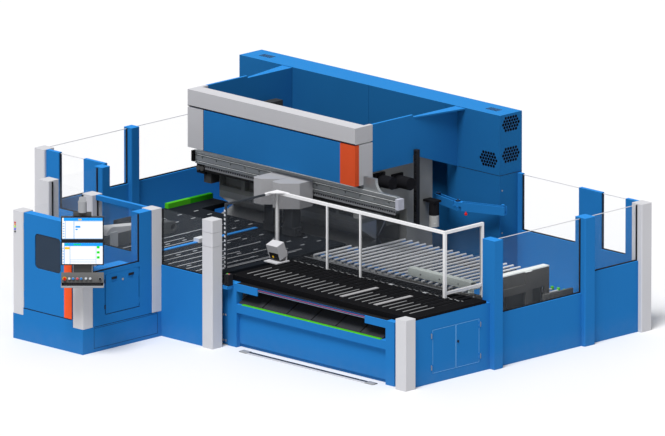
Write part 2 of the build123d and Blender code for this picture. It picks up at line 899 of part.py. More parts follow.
die_y = span(frame_y[0] + die_setback, die_depth)
bed = along_x(
    [
        (frame_y[0], 0),
        (frame_y[1], 0),
        (frame_y[1], bed_height),
        (die_y[1], bed_height),
        (die_y[1], throat_base),
        (die_y[0], throat_base),
        (die_y[0], bed_height),
        (frame_y[0], bed_height),
    ],
    unit_x,
)
for share in (fork_place_share, 1 - fork_place_share):
    fork_x = about(unit_x[0] + (unit_x[1] - unit_x[0]) * share, fork_width)
    fork_z = span(fork_height, fork_height)
    bed = bed - block(fork_x, (frame_y[0] - overrun, frame_y[1] + overrun), fork_z)
keep("machine_bed", bed)
die_shoulder = (throat_base + sheet_height) / 2
keep(
    "lower_die",
    along_x(
        [
            (die_y[0], throat_base),
            (die_y[1], throat_base),
            (die_y[1], sheet_height),
            (die_y[1] - die_tip, sheet_height),
            (die_y[0], die_shoulder),
        ],
        unit_x,
    ),
)
tie_y = (frame_y[1] - tie_depth - frame_plate, frame_y[1] - frame_plate)
tie_z = span(tie_base, tie_height)
tie = block(unit_x, tie_y, tie_z)
tie_bore = block(
    (unit_x[0] - overrun, unit_x[1] + overrun),
    (tie_y[0] + tie_wall, tie_y[1] - tie_wall),
    (tie_z[0] + tie_wall, tie_z[1] - tie_wall),
)
keep("frame_tie_beam", tie - tie_bore)

holder_x = (unit_x[0] + seat_gap, unit_x[1] - seat_gap)
holder_y = span(die_y[0], holder_depth)
holder_z = span(holder_base, holder_height)
holder = block(holder_x, holder_y, holder_z)
bay_pitch = (holder_x[1] - holder_x[0]) / holder_bay_count
for index in range(holder_bay_count):
    bay_x = span(holder_x[0] + bay_pitch * index + holder_rib / 2, bay_pitch - holder_rib)
    bay_z = (holder_z[0] + holder_rib, holder_z[1] - holder_rib)
    holder = holder - block(bay_x, (holder_y[0] - overrun, holder_y[0] + holder_recess), bay_z)
keep("blank_holder_beam", holder)

tool_root = holder_base - (holder_base - sheet_height) / 3
tool_base = sheet_height + sheet_gap
tool_outline = [
    (die_y[0], holder_base),
    (die_y[0], tool_root),
    (die_y[1] - tool_tip, tool_base),
    (die_y[1], tool_base),
    (die_y[1], holder_base),
]
tool_pitch = (holder_x[1] - holder_x[0]) / tool_count
keep(
    "upper_tools",
    *[along_x(tool_outline, span(holder_x[0] + tool_pitch * index + tool_gap / 2, tool_pitch - tool_gap))
      for index in range(tool_count)],
)

saddle_x = (unit_x[0] + holder_rib, unit_x[1] - holder_rib)
saddle_y = span(die_y[0] + saddle_setback, saddle_depth)
saddle_z = span(bed_height + seat_gap, saddle_height)
keep("blade_saddle", block(saddle_x, saddle_y, saddle_z))
blade_base = saddle_z[1] + seat_gap
back_y = (saddle_y[1] - blade_back, saddle_y[1])
arm_front = back_y[0] - blade_arm_reach
lower_z = sheet_height - blade_throat / 2
upper_z = sheet_height + blade_throat / 2
blade_outline = [
    (back_y[1], blade_base),
    (back_y[1], upper_z + blade_arm),
    (arm_front, upper_z + blade_arm),
    (arm_front, upper_z),
    (back_y[0], upper_z),
    (back_y[0], lower_z),
    (arm_front, lower_z),
    (arm_front, lower_z - blade_arm),
    (back_y[0], lower_z - blade_arm),
    (back_y[0], blade_base),
]
keep("blade_beam", along_x(blade_outline, saddle_x))
tip_y = arm_front - blade_length


def blade(root, tip):
    """Tapered bending blade from its seat on an arm to its tip."""
    return along_x(
        [(arm_front, root), (tip_y, tip), (tip_y, tip + blade_tip), (arm_front, root + blade_root)], saddle_x
    )


keep(
    "bending_blades",
    blade(upper_z + blade_arm - blade_root, sheet_height + blade_tip),
    blade(lower_z - blade_arm, sheet_height - blade_tip * 2),
)

# Hood covers
hood_x = (hood_left_x, hood_right_x)
band_z = (band_base, band_top)
band = block(hood_x, span(hood_front_y, band_depth), band_z)
return_y = (hood_front_y, hood_front_y + band_return)
left_end_x = span(hood_left_x, band_wall)
right_end_x = (hood_right_x - band_wall, hood_right_x)
band = joined(band, block(left_end_x, return_y, band_z), block(right_end_x, return_y, band_z))
cover_z = (cover_base, cover_top)
cover_y = span(hood_front_y, cover_thickness)
stripe_left_x = hood_right_x - hood_stripe_width
panel_left_x = hood_left_x + cover_corner_width
left_skin_x = span(hood_left_x, cover_thickness)
right_skin_x = (hood_right_x - cover_thickness, hood_right_x)
wrap_y = cover_y[1] + hood_stripe_wrap - cover_thickness
left_corner = joined(
    block((hood_left_x, panel_left_x), cover_y, cover_z), block(left_skin_x, return_y, cover_z)
)
right_corner = block(right_skin_x, (wrap_y, return_y[1]), cover_z)
keep("hood_grey_covers", band, left_corner, right_corner)
keep(
    "hood_stripe",
    joined(
        block((stripe_left_x, hood_right_x), cover_y, cover_z),
        block(right_skin_x, (hood_front_y, wrap_y), cover_z),
    ),
)
backing_x = (hood_left_x + cover_thickness, hood_right_x - cover_thickness)
backing_y = span(cover_y[1], cover_thickness)
keep(
    "hood_front_panel",
    joined(
        block((panel_left_x, stripe_left_x), cover_y, cover_z),
        block(backing_x, backing_y, (cover_base, band_base)),
    ),
)
side_y = (return_y[1], return_y[1] + side_panel_depth)
gusset_y = (side_y[1], beam_front_y)
sides = []
for skin_x in (left_skin_x, right_skin_x):
    side = block(skin_x, side_y, (side_panel_base, band_top))
    gusset = along_x(
        [
            (gusset_y[0], gusset_front_base),
            (gusset_y[1], rear_beam_base),
            (gusset_y[1], gusset_top),
            (gusset_y[0], gusset_top),
        ],
        skin_x,
    )
    outer = skin_x[0] if skin_x is left_skin_x else skin_x[1]
    reach = -flange_width if skin_x is left_skin_x else flange_width
    flange = along_z(
        [(outer, gusset_y[0]), (outer, gusset_y[1]), (outer + reach, gusset_y[1])],
        (gusset_top - flange_thickness, gusset_top),
    )
    sides.append(joined(side, gusset, flange))
keep("hood_sides", *sides)

# Tool rail with its two carriages
rail_x = span(hood_left_x + rail_from_hood, rail_length)
rail_y = (frame_y[0] - rail_thickness, frame_y[0])
rail_z = (rail_base, rail_top)
web_y = (frame_y[0] - web_thickness, frame_y[0])
web_x = (hood_right_x, rail_x[1] - web_right_inset)
corner = block(span(web_x[1], web_fillet), web_y, span(rail_top, web_fillet)) - rod_y(
    web_x[1] + web_fillet, (web_y[0] - overrun, web_y[1] + overrun), rail_top + web_fillet, web_fillet
)
rail = joined(block(rail_x, rail_y, rail_z), block(web_x, web_y, (rail_top, web_top)), corner)
for height in rail_groove_heights:
    groove_y = (rail_y[0] - overrun, rail_y[0] + rail_groove_depth)
    rail = rail - block((rail_x[0] - overrun, rail_x[1] + overrun), groove_y, about(height, rail_groove))
hole_pitch = rail_length / rail_hole_count
for index in range(rail_hole_count):
    hole_x = rail_x[0] + hole_pitch * (index + 1 / 2)
    hole_y = (rail_y[0] - overrun, rail_y[0] + rail_groove_depth)
    rail = rail - rod_y(hole_x, hole_y, rail_hole_height, rail_hole_radius)
keep("tool_rail", rail)
end_y = about(sum(rail_y) / 2, rail_end_depth)
end_z = about(sum(rail_z) / 2, rail_end_height)
keep(
    "tool_rail_ends",
    block((rail_x[0] - rail_end_length, rail_x[0]), end_y, end_z),
    block(span(rail_x[1], rail_end_length), end_y, end_z),
)


def tool_carriage(left):
    """Housing with one cut-back corner, tongues that ride in the rail and a gripper on a column."""
    right = left + carriage_width
    rear = rail_y[0] - seat_gap
    front = rear - carriage_depth
    housing = along_z(
        [
            (left, rear),
            (left, front + carriage_small_chamfer),
            (left + carriage_small_chamfer, front),
            (right - carriage_chamfer, front),
            (right, front + carriage_chamfer),
            (right, rear),
        ],
        (carriage_base, carriage_top),
    )
    tongue_y = (rear, rail_y[0] + rail_groove_depth - seat_gap)
    tongues = [block((left, right), tongue_y, about(height, rail_groove - seat_gap * 2))
               for height in rail_groove_heights]
    middle_x = (left + right) / 2
    middle_y = (front + rear) / 2
    column_z = (gripper_base + gripper_jaw_height, carriage_base)
    column = block(about(middle_x, gripper_side), about(middle_y, gripper_side), column_z)
    jaw = block(
        about(middle_x, gripper_jaw_width),
        about(middle_y, gripper_jaw_depth),
        span(gripper_base, gripper_jaw_height),
    )
    jaw = jaw - block(
        about(middle_x, gripper_jaw_width + overrun * 2),
        (middle_y, middle_y + gripper_jaw_depth),
        about(gripper_base + gripper_jaw_height / 2, gripper_slot),
    )
    return joined(housing, column, jaw, *tongues)


carriage_x = hood_left_x + carriage_from_hood
keep("tool_carriage_left", tool_carriage(carriage_x))
keep("tool_carriage_right", tool_carriage(carriage_x + carriage_pitch))

# Drive motors on the C-frames
motors = []
for face, side in ((right_frame_x[1], 1), (left_frame_x[0], -1)):
    for share, height in zip(motor_depth_shares, motor_heights):
        motor_y = frame_y[0] + frame_depth * share
        flange_x = sorted((face, face + side * motor_flange_thickness))
        flange_face = face + side * motor_flange_thickness
        body_x = sorted((flange_face, flange_face + side * motor_length))
        flange = block(flange_x, about(motor_y, motor_flange), about(height, motor_flange))
        motors.append(flange + rod_x(body_x, motor_y, height, motor_radius))
lift_x = right_frame_x[1] + lift_motor_reach
lift_y = frame_y[0] + frame_depth * lift_motor_depth_share
lift_flange = block(
    (right_frame_x[1], lift_x + lift_motor_radius),
    about(lift_y, lift_motor_radius * 2),
    span(lift_motor_top, motor_flange_thickness),
)
lift_limits = (lift_motor_top - lift_motor_length, lift_motor_top)
motors.append(lift_flange + rod_z(lift_x, lift_y, lift_limits, lift_motor_radius))
keep("servo_motors", *motors)

# Upright light curtain on the right flank of the hood
curtain_x = span(hood_right_x, curtain_side)
curtain_y = span(gusset_y[0] + curtain_setback, curtain_side)
curtain = block(curtain_x, curtain_y, (curtain_base, curtain_top))
eye_pitch = (curtain_top - curtain_base) / curtain_hole_count
eye = curtain_side * curtain_hole_share
for index in range(curtain_hole_count):
    eye_z = about(curtain_base + eye_pitch * (index + 1 / 2), eye)
    eye_y = (curtain_y[0] - overrun, curtain_y[0] + eye / 2)
    curtain = curtain - block(about(sum(curtain_x) / 2, eye), eye_y, eye_z)
keep("light_curtain", curtain)

# Swing arm of two channel links, carried by a bracket on the right column
pivot_x = beam_right_x - column_width + arm_base_from_column
pivot_y = beam_front_y - arm_base_out
link_z = span(arm_base_height, arm_channel_height)
lap_z = sum(link_z) / 2
link_width = about(0, arm_channel_width)
link_half = arm_channel_width / 2
lap = arm_channel_width * 3 / 4
channel_y = about(0, arm_channel_width - arm_channel_wall * 2)
knob_z = span(link_z[1] + seat_gap, arm_knob_height)
bracket_z = (arm_base_height - arm_channel_wall * 2 - seat_gap, arm_base_height - seat_gap)
bracket = joined(
    block(about(pivot_x, arm_channel_width), (pivot_y - link_half, beam_front_y), bracket_z),
    rod_z(pivot_x, pivot_y, (bracket_z[0], knob_z[1]), arm_pin_radius),
    rod_z(pivot_x, pivot_y, knob_z, arm_knob_radius),
)
keep("columns", *columns, bracket)
inner_place = Pos(pivot_x, pivot_y, 0) * Rot(0, 0, inner_arm_angle)
inner = block((-link_half, inner_arm_length - lap), link_width, link_z)
inner = inner - block(
    (-link_half - overrun, inner_arm_length - lap - arm_channel_wall),
    channel_y,
    (link_z[0] + arm_channel_wall, link_z[1] + overrun),
)
lap_low = block((inner_arm_length - lap - arm_channel_wall, inner_arm_length + link_half), link_width,
                (link_z[0], lap_z - seat_gap))
elbow_pin = rod_z(inner_arm_length, 0, (link_z[0], knob_z[1]), arm_pin_radius)
elbow_knob = rod_z(inner_arm_length, 0, knob_z, arm_knob_radius)
pivot_bore = rod_z(0, 0, (link_z[0] - overrun, link_z[1] + overrun), arm_pin_radius + pin_clearance)
keep("swing_arm_inner", inner_place * (joined(inner, lap_low, elbow_pin, elbow_knob) - pivot_bore))
elbow = (inner_place * Pos(inner_arm_length, 0, 0)).position
outer_place = Pos(elbow.X, elbow.Y, 0) * Rot(0, 0, outer_arm_angle)
outer = block((lap, outer_arm_length + link_half), link_width, link_z)
outer = outer - block(
    (lap + arm_channel_wall, outer_arm_length + link_half + overrun),
    channel_y,
    (link_z[0] + arm_channel_wall, link_z[1] + overrun),
)
lap_high = block((-link_half, lap + arm_channel_wall), link_width, (lap_z, link_z[1])) - pivot_bore
end_knob = rod_z(outer_arm_length, 0, (link_z[0], knob_z[1]), arm_knob_radius * 3 / 4)
keep("swing_arm_outer", outer_place * joined(outer, lap_high, end_knob))

# Working table with its track, slider and loading arm
work_left_x = return_x + post_side + working_table_gap
work_front_y = post_front_y + post_side
work_rear_y = frame_y[0] - working_table_gap
wing_left_x = work_left_x - post_side
wing_right_x = wing_left_x + wing_width
wing_rear_y = work_rear_y + wing_length
wing_front_y = bay_y + post_side
top_z = (table_height - working_table_thickness, table_height)
table = along_z(
    [
        (work_left_x, work_front_y),
        (working_table_right_x, work_front_y),
        (working_table_right_x, work_rear_y),
        (wing_right_x, work_rear_y),
        (wing_right_x, wing_rear_y),
        (wing_left_x, wing_rear_y),
        (wing_left_x, wing_front_y),
        (work_left_x, wing_front_y),
    ],
    top_z,
)
leg_xs = (work_left_x + leg_side, (work_left_x + working_table_right_x) / 2, working_table_right_x - leg_side)
leg_places = [(x, y) for x in leg_xs for y in (work_front_y + leg_side, work_rear_y - leg_side)]
leg_places.append((wing_left_x + leg_side, wing_rear_y - leg_side))
legs = [block(about(x, leg_side), about(y, leg_side), (0, top_z[0])) for x, y in leg_places]
arm_base = table_height + seat_gap
pin_y = work_front_y + loading_arm_inset
pin_z = arm_base + loading_arm_root_radius
eye_y = pin_y + loading_arm_length
eye_z = arm_base + loading_arm_eye_radius
arm_half = loading_arm_width / 2
lugs = []
for side in (-1, 1):
    inner_x = loading_arm_x + side * (arm_half + seat_gap)
    lug_x = sorted((inner_x, inner_x + side * loading_lug))
    lug_y = about(pin_y, loading_arm_root_radius)
    lugs.append(block(lug_x, lug_y, (table_height, pin_z + loading_arm_root_radius / 2)))
pin_x = about(loading_arm_x, loading_arm_width + seat_gap * 2 + loading_lug)
arm_pin = rod_x(pin_x, pin_y, pin_z, loading_pin_radius)
pad_z = span(table_height, pad_height)
pad_left = work_left_x + leg_side
pad_right = guard_x - leg_side
pads = []
for column in range(pad_columns):
    pad_x = pad_left + (pad_right - pad_left) * (column + 1 / 2) / pad_columns
    if abs(pad_x - track_x) < slider_width or abs(pad_x - loading_arm_x) < loading_arm_width + loading_lug:
        continue
    for row in range(pad_rows):
        pad_y = work_front_y + (work_rear_y - work_front_y) * (row + 1 / 2) / pad_rows
        pads.append(block(about(pad_x, pad_width), about(pad_y, pad_length), pad_z))
keep("working_table", joined(table, *legs, *lugs, arm_pin, *pads))

track_y = span(work_front_y + track_front_inset, track_length)
track_z = span(table_height, track_height)
keep("gripper_track", block(about(track_x, track_width), track_y, track_z))
slider_y = span(track_y[0] + slider_from_track, slider_length)
slider = block(about(track_x, slider_width), slider_y, span(table_height + seat_gap, slider_height))
slider = slider - block(
    about(track_x, track_width + seat_gap * 2),
    (slider_y[0] - overrun, slider_y[1] + overrun),
    (table_height, track_z[1] + seat_gap),
)
keep("gripper_carriage", slider)

arm_x = about(loading_arm_x, loading_arm_width)
loading = joined(
    along_x(
        [
            (pin_y, arm_base),
            (eye_y, arm_base),
            (eye_y, eye_z + loading_arm_eye_radius),
            (pin_y, pin_z + loading_arm_root_radius),
        ],
        arm_x,
    ),
    rod_x(arm_x, eye_y, eye_z, loading_arm_eye_radius),
    rod_x(arm_x, pin_y, pin_z, loading_arm_root_radius),
)
bore_x = (arm_x[0] - overrun, arm_x[1] + overrun)
loading = loading - rod_x(bore_x, eye_y, eye_z, loading_arm_hole)
keep("loading_arm", loading - rod_x(bore_x, pin_y, pin_z, loading_pin_radius + pin_clearance))

# Feed table, its frame, chute and fittings
feed_x = (feed_left_x, side_x)
feed_y = (feed_front_y, feed_rear_y)
feed_z = (table_height - feed_thickness, table_height)
feed_top = block(feed_x, feed_y, feed_z)
slot_count = int((side_x - feed_left_x - feed_side_margin * 2) // feed_slot_pitch)
slot_front_y = feed_front_y + feed_front_margin
slot_rows = []
for length, space in zip(feed_slot_lengths, feed_slot_spaces + (0,)):
    slot_rows.append(span(slot_front_y, length))
    slot_front_y += length + space
bar_columns = [int(slot_count * share) for share in feed_bar_place_shares]
bar_y = span(slot_rows[0][0], feed_bar_length)
slot_level = (feed_z[0] - overrun, feed_z[1] + overrun)
slots = []
bars = []
for index in range(slot_count):
    column_x = feed_left_x + feed_side_margin + feed_slot_pitch * (index + 1 / 2)
    open_rows = slot_rows
    if index in bar_columns:
        bars.append(block(about(column_x, feed_bar_width), bar_y, span(table_height, feed_bar_height)))
        open_rows = [row_y for row_y in slot_rows if row_y[0] > bar_y[1]]
    for row_y in open_rows:
        slots.append(block(about(column_x, feed_slot_width), row_y, slot_level))
lip_y = span(feed_front_y, feed_lip_thickness)
feed_top = joined(feed_top - slots, block(feed_x, lip_y, (table_height - feed_lip, table_height)))
keep("feed_table", feed_top, *bars)

leg_y = (frame_front_y, lip_y[1])
leg_top = table_height - feed_lip
top_rail_base = leg_top - front_rail_height
left_leg_x = span(feed_left_x + frame_left_offset, frame_leg_width)
right_leg_x = span(side_x - frame_right_offset, frame_leg_width)
between_x = (left_leg_x[1], right_leg_x[0])
cabinet_x = (side_x - cabinet_width, side_x)
member_z = (feed_z[0] - rear_beam_height, feed_z[0])
member_y = (lip_y[1], feed_rear_y - rear_beam_height)
left_member_x = span(left_leg_x[0], leg_side)
right_member_x = (cabinet_x[0] - leg_side - overrun, cabinet_x[0] - overrun)
cross_y = span(member_y[1], leg_side)
panel_y = span(frame_front_y + lower_panel_recess, panel_thickness / 3)
foot_y = (panel_y[0] + foot_recess, lip_y[1])
rail_front_y = feed_front_y - top_rail_depth
bracket_y = (rail_front_y - bracket_thickness, rail_front_y)
bracket_level = (leg_top - bracket_height, leg_top)
keep(
    "table_frame",
    joined(
        block(left_leg_x, leg_y, (0, leg_top)),
        block(right_leg_x, leg_y, (0, leg_top)),
        block(span(left_leg_x[1], bracket_length), bracket_y, bracket_level),
        block((right_leg_x[0] - bracket_length, right_leg_x[0]), bracket_y, bracket_level),
        block(
            (left_leg_x[0], right_leg_x[1]),
            (rail_front_y, feed_front_y),
            (top_rail_base, leg_top),
        ),
        block(between_x, (frame_front_y, feed_front_y), span(lower_beam_base, lower_beam_height)),
        block(between_x, panel_y, (foot_height, lower_beam_base)),
        block(between_x, foot_y, (0, lower_beam_base)),
        block(left_member_x, member_y, member_z),
        block(right_member_x, member_y, member_z),
        block((left_member_x[0], right_member_x[1]), cross_y, member_z),
        block(left_member_x, cross_y, (0, member_z[0])),
        block(right_member_x, cross_y, (0, member_z[0])),
    ),
)
strip_y = span(frame_front_y, strip_width)
beam_top = lower_beam_base + lower_beam_height
bar_front_y = wing_rear_y - green_bar_length
keep(
    "green_strips",
    block((between_x[0] + leg_side, between_x[1] - leg_side), strip_y, span(beam_top, strip_height)),
    block(
        span(wing_left_x, green_bar_width),
        (bar_front_y, wing_rear_y),
        span(table_height, green_bar_height),
    ),
)
chute_y = span(strip_y[1] + overrun, chute_length)
keep(
    "chute",
    along_x(
        [
            (chute_y[0], beam_top),
            (chute_y[0], beam_top + chute_thickness),
            (chute_y[1], chute_top + chute_thickness),
            (chute_y[1], chute_top),
            (feed_front_y, beam_top),
        ],
        (between_x[0] + running_gap, right_member_x[0] - running_gap),
    ),
)
strip_x = (feed_left_x + floor_strip_inset, side_x - floor_strip_right_inset)
strip_floor_y = span(frame_front_y - floor_strip_front, floor_strip_width)
keep("floor_strip", block(strip_x, strip_floor_y, (0, floor_strip_height)))
box_x = span(left_leg_x[0] + overrun * 2, control_box_width)
box_y = (frame_front_y - control_box_depth, frame_front_y)
box_z = span(control_box_base, control_box_height)
box = block(box_x, box_y, box_z)
for share in (1 / 3, 2 / 3):
    button_limits = (box_y[0] - control_button_reach, box_y[0])
    button_height = box_z[0] + control_box_height * share
    box = box + rod_y(sum(box_x) / 2, button_limits, button_height, control_button_radius)
keep("control_box", box)

# Side cabinet with its pair of doors and latch
cabinet_y = (lip_y[1], right_post_y)
cabinet_z = (0, feed_z[0])
cabinet = block(cabinet_x, cabinet_y, cabinet_z) - block(
    (cabinet_x[0] + cabinet_wall, cabinet_x[1] - cabinet_wall),
    (cabinet_y[0] + cabinet_wall, cabinet_y[1] - cabinet_wall),
    (cabinet_wall, cabinet_z[1] - cabinet_wall),
)
doorway_y = span(cabinet_y[0] + cabinet_door_inset, cabinet_door_span)
doorway_z = span(cabinet_door_base, cabinet_door_height)
doorway_x = (cabinet_x[1] - cabinet_wall - overrun, cabinet_x[1] + overrun)
cabinet = cabinet - block(doorway_x, doorway_y, doorway_z)
axis_x = side_x + knuckle_radius + seat_gap
face_leaf = (side_x - axis_x, side_x - axis_x + leaf_thickness)
leaf_reach = knuckle_radius * 4
cabinet_doors = []
cabinet_fixed = []
split_y = sum(doorway_y) / 2
door_x = (side_x - cabinet_wall, side_x)
door_z = (doorway_z[0] + running_gap, doorway_z[1] - running_gap)
for edge_y, inward in ((doorway_y[0], 1), (doorway_y[1], -1)):
    moving, fixed = hinge(
        axis_x,
        edge_y,
        door_z[0],
        door_z[1] - door_z[0],
        (face_leaf, sorted((0, -inward * leaf_reach))),
        (face_leaf, sorted((0, inward * leaf_reach))),
    )
    leaf_y = sorted((edge_y + inward * running_gap, split_y - inward * cabinet_door_gap / 2))
    cabinet_doors.append(joined(block(door_x, leaf_y, door_z), *moving))
    cabinet_fixed += fixed
keep("side_cabinet", cabinet, *cabinet_fixed)
latch_y = split_y + latch_inset
latch_limits = (door_x[0] - overrun, door_x[1] + overrun)
latch_bore = rod_x(latch_limits, latch_y, latch_height, latch_shaft_radius + pin_clearance)
keep("cabinet_door_front", cabinet_doors[0])
keep("cabinet_door_rear", cabinet_doors[1] - latch_bore)
cam_x = (door_x[0] - seat_gap - latch_cam_thickness, door_x[0] - seat_gap)
keep(
    "door_latch",
    joined(
        rod_x((cam_x[0], side_x + seat_gap + latch_reach), latch_y, latch_height, latch_shaft_radius),
        rod_x(span(side_x + seat_gap, latch_reach / 2), latch_y, latch_height, latch_radius),
        block(
            span(side_x + seat_gap, latch_reach),
            about(latch_y, latch_shaft_radius),
            about(latch_height, latch_radius * 2 - seat_gap * 2),
        ),
        block(cam_x, about(latch_y, latch_cam_width), span(latch_height, latch_cam_length)),
    ),
)

# Belt conveyor behind the feed table
conveyor_x = (conveyor_left_x, conveyor_right_x)
belt_count = int((conveyor_right_x - conveyor_left_x - belt_margin * 2) // belt_pitch) + 1
belt_xs = [conveyor_left_x + belt_margin + belt_pitch * index for index in range(belt_count)]
conveyor_y = span(conveyor_front_y, conveyor_depth)
beam_level = (conveyor_beam_base, conveyor_beam_top)
belt_z = conveyor_beam_top + belt_bracket_height + belt_radius
shaft_y = conveyor_front_y + roller_radius
shaft_z = belt_z - belt_radius - roller_radius - seat_gap
side_xs = (span(conveyor_x[0], leg_side / 2), (conveyor_x[1] - leg_side / 2, conveyor_x[1]))
side_level = (conveyor_beam_base, shaft_z - bearing_side / 2)
# The leftmost belts stop short of the bending unit, the others run past it
clear_x = right_frame_x[1] + running_gap * 5
short_y = (conveyor_y[0], frame_y[0] - working_table_gap)
front_beam_y = span(conveyor_y[0] + shaft_setback + roller_radius, conveyor_beam_depth)
rear_beam_y = (conveyor_y[1] - conveyor_beam_depth, conveyor_y[1])
short_beam_y = (short_y[1] - conveyor_beam_depth, short_y[1])
inner_side_x = span(clear_x, leg_side / 2)
parts = [
    block(conveyor_x, front_beam_y, beam_level),
    block((conveyor_x[0], inner_side_x[1]), short_beam_y, beam_level),
    block((clear_x, conveyor_x[1]), rear_beam_y, beam_level),
    block(side_xs[0], short_y, side_level),
    block(inner_side_x, (short_beam_y[0], conveyor_y[1]), side_level),
    block(side_xs[1], conveyor_y, side_level),
]
for side_limits in side_xs:
    parts.append(block(side_limits, about(shaft_y, bearing_side), about(shaft_z, bearing_side)))
    parts.append(block(side_limits, front_beam_y, (0, conveyor_beam_base)))
parts.append(block(side_xs[0], short_beam_y, (0, conveyor_beam_base)))
parts.append(block(inner_side_x, rear_beam_y, (0, conveyor_beam_base)))
parts.append(block(side_xs[1], rear_beam_y, (0, conveyor_beam_base)))
rail_y = (conveyor_y[0] + side_rail_front, conveyor_y[1])
rail_z = span(side_level[1], side_rail_height)
flange_z = (rail_z[1] - side_rail_flange_thickness, rail_z[1])
outer_x = span(conveyor_x[1], side_rail_thickness)
middle_leg_y = span(conveyor_y[0] + middle_leg_from_front, middle_leg_width)
parts += [
    block((conveyor_x[1] - side_rail_thickness, conveyor_x[1]), rail_y, rail_z),
    block((conveyor_x[1] - side_rail_flange, conveyor_x[1]), rail_y, flange_z),
    block(outer_x, span(rail_y[0], lower_rail_length), span(lower_rail_base, lower_rail_height)),
    block(outer_x, middle_leg_y, (0, flange_z[0])),
]
shaft_bore = rod_x(
    (conveyor_x[0] - overrun, conveyor_x[1] + overrun), shaft_y, shaft_z, shaft_radius + pin_clearance
)
conveyor_frame = joined(*parts) - shaft_bore
cross_x = (conveyor_x[1] - cross_box_length, conveyor_x[1])
cross_box_y = (conveyor_y[0] - cross_box_depth - seat_gap, conveyor_y[0] - seat_gap)
cross_top = conveyor_beam_top + belt_bracket_height
cross_z = (cross_top - cross_box_height, cross_top)
cross_legs = [
    block(span(start, leg_side), cross_box_y, (0, cross_z[0]))
    for start in (cross_x[0], cross_x[1] - leg_side)
]
keep("conveyor_frame", conveyor_frame, joined(block(cross_x, cross_box_y, cross_z), *cross_legs))
bracket_z = span(conveyor_beam_top, belt_bracket_height)
brackets = []
belts = []
for x in belt_xs:
    is_short = x - belt_radius < inner_side_x[1]
    end_beam_y = short_beam_y if is_short else rear_beam_y
    for seat_y in (front_beam_y, end_beam_y):
        brackets.append(block(about(x, belt_bracket_width), seat_y, bracket_z))
    belts.append(rod_y(x, (conveyor_y[0], end_beam_y[1]), belt_z, belt_radius))
keep("belt_brackets", *brackets)
keep("conveyor_belts", *belts)
roller_x = (side_xs[0][1] + running_gap, side_xs[1][0] - running_gap)
drive_roller = rod_x(roller_x, shaft_y, shaft_z, roller_radius)
keep("conveyor_shaft", joined(rod_x(conveyor_x, shaft_y, shaft_z, shaft_radius), drive_roller))

# Inner guard with its panes, and the folded pedestal
half_post = guard_post_side / 2
corner_y = guard_line_y
guard_posts = [
    (guard_x, guard_front_y, guard_slim_side, table_height),
    (guard_x, corner_y, guard_post_side, table_height),
    (guard_middle_xs[0], corner_y, guard_slim_side, table_height),
    (guard_middle_xs[1], corner_y, guard_slim_side, table_height),
    (guard_right_x, corner_y, guard_post_side, table_height),
    (guard_right_x, guard_return_y, guard_post_side, side_level[1]),
]
frame_parts = [block(about(x, side), about(y, side), (base, guard_top)) for x, y, side, base in guard_posts]
guard_panes = []
for first, second in zip(guard_posts, guard_posts[1:]):
    start_x, start_y, start_side = first[:3]
    end_x, end_y, end_side, end_base = second
    lengthwise = start_y == end_y
    bar_side = min(start_side, end_side) if not lengthwise else guard_post_side
    bar_x = (start_x + start_side / 2, end_x - end_side / 2) if lengthwise else about(start_x, bar_side)
    bar_y = about(start_y, bar_side) if lengthwise else (start_y + start_side / 2, end_y - end_side / 2)
    frame_parts.append(block(bar_x, bar_y, (guard_top - bar_side, guard_top)))
    pane_base = table_height
    if end_base < table_height:
        frame_parts.append(block(bar_x, bar_y, span(guard_bar_base, bar_side)))
        pane_base = guard_bar_base + bar_side
    pane_x = bar_x if lengthwise else about(start_x, guard_glass)
    pane_y = about(start_y, guard_glass) if lengthwise else bar_y
    guard_panes.append(block(pane_x, pane_y, (pane_base, guard_top - bar_side)))
corner_plate = along_z(
    [
        (guard_x - half_post, corner_y + half_post),
        (guard_x - half_post, corner_y - gusset_side),
        (guard_x + gusset_side, corner_y + half_post),
    ],
    span(guard_top, gusset_thickness),
)
keep("guard_frame", joined(*frame_parts, corner_plate))
keep("guard_glass", *guard_panes)

base_z = span(table_height, pedestal_base_height)
cover = Box(pedestal_width, pedestal_depth, pedestal_height) - Pos(0, 0, -pedestal_wall) * Box(
    pedestal_width - pedestal_wall * 2, pedestal_depth - pedestal_wall * 2, pedestal_height
)
cover_z = base_z[1] + pedestal_lift
plate_y = span(pedestal_y + pedestal_depth * pedestal_plate_share, pedestal_wall)
keep(
    "pedestal",
    joined(
        block(about(pedestal_x, pedestal_base_side), about(pedestal_y, pedestal_base_side), base_z),
        block(about(pedestal_x, pedestal_width), plate_y, (base_z[1], cover_z)),
        Pos(pedestal_x, pedestal_y, cover_z) * Rot(pedestal_tilt, 0, 0) * cover,
    ),
)

# The origin is put under the middle of the whole cell, on the floor
whole = Compound([solid for shape in pieces.values() for solid in shape.solids()]).bounding_box()
origin = Pos(-whole.center().X, -whole.center().Y, -whole.min.Z)
os.makedirs("parts", exist_ok=True)
for name, shape in pieces.items():
    export_step(origin * shape, f"parts/{name}.step")
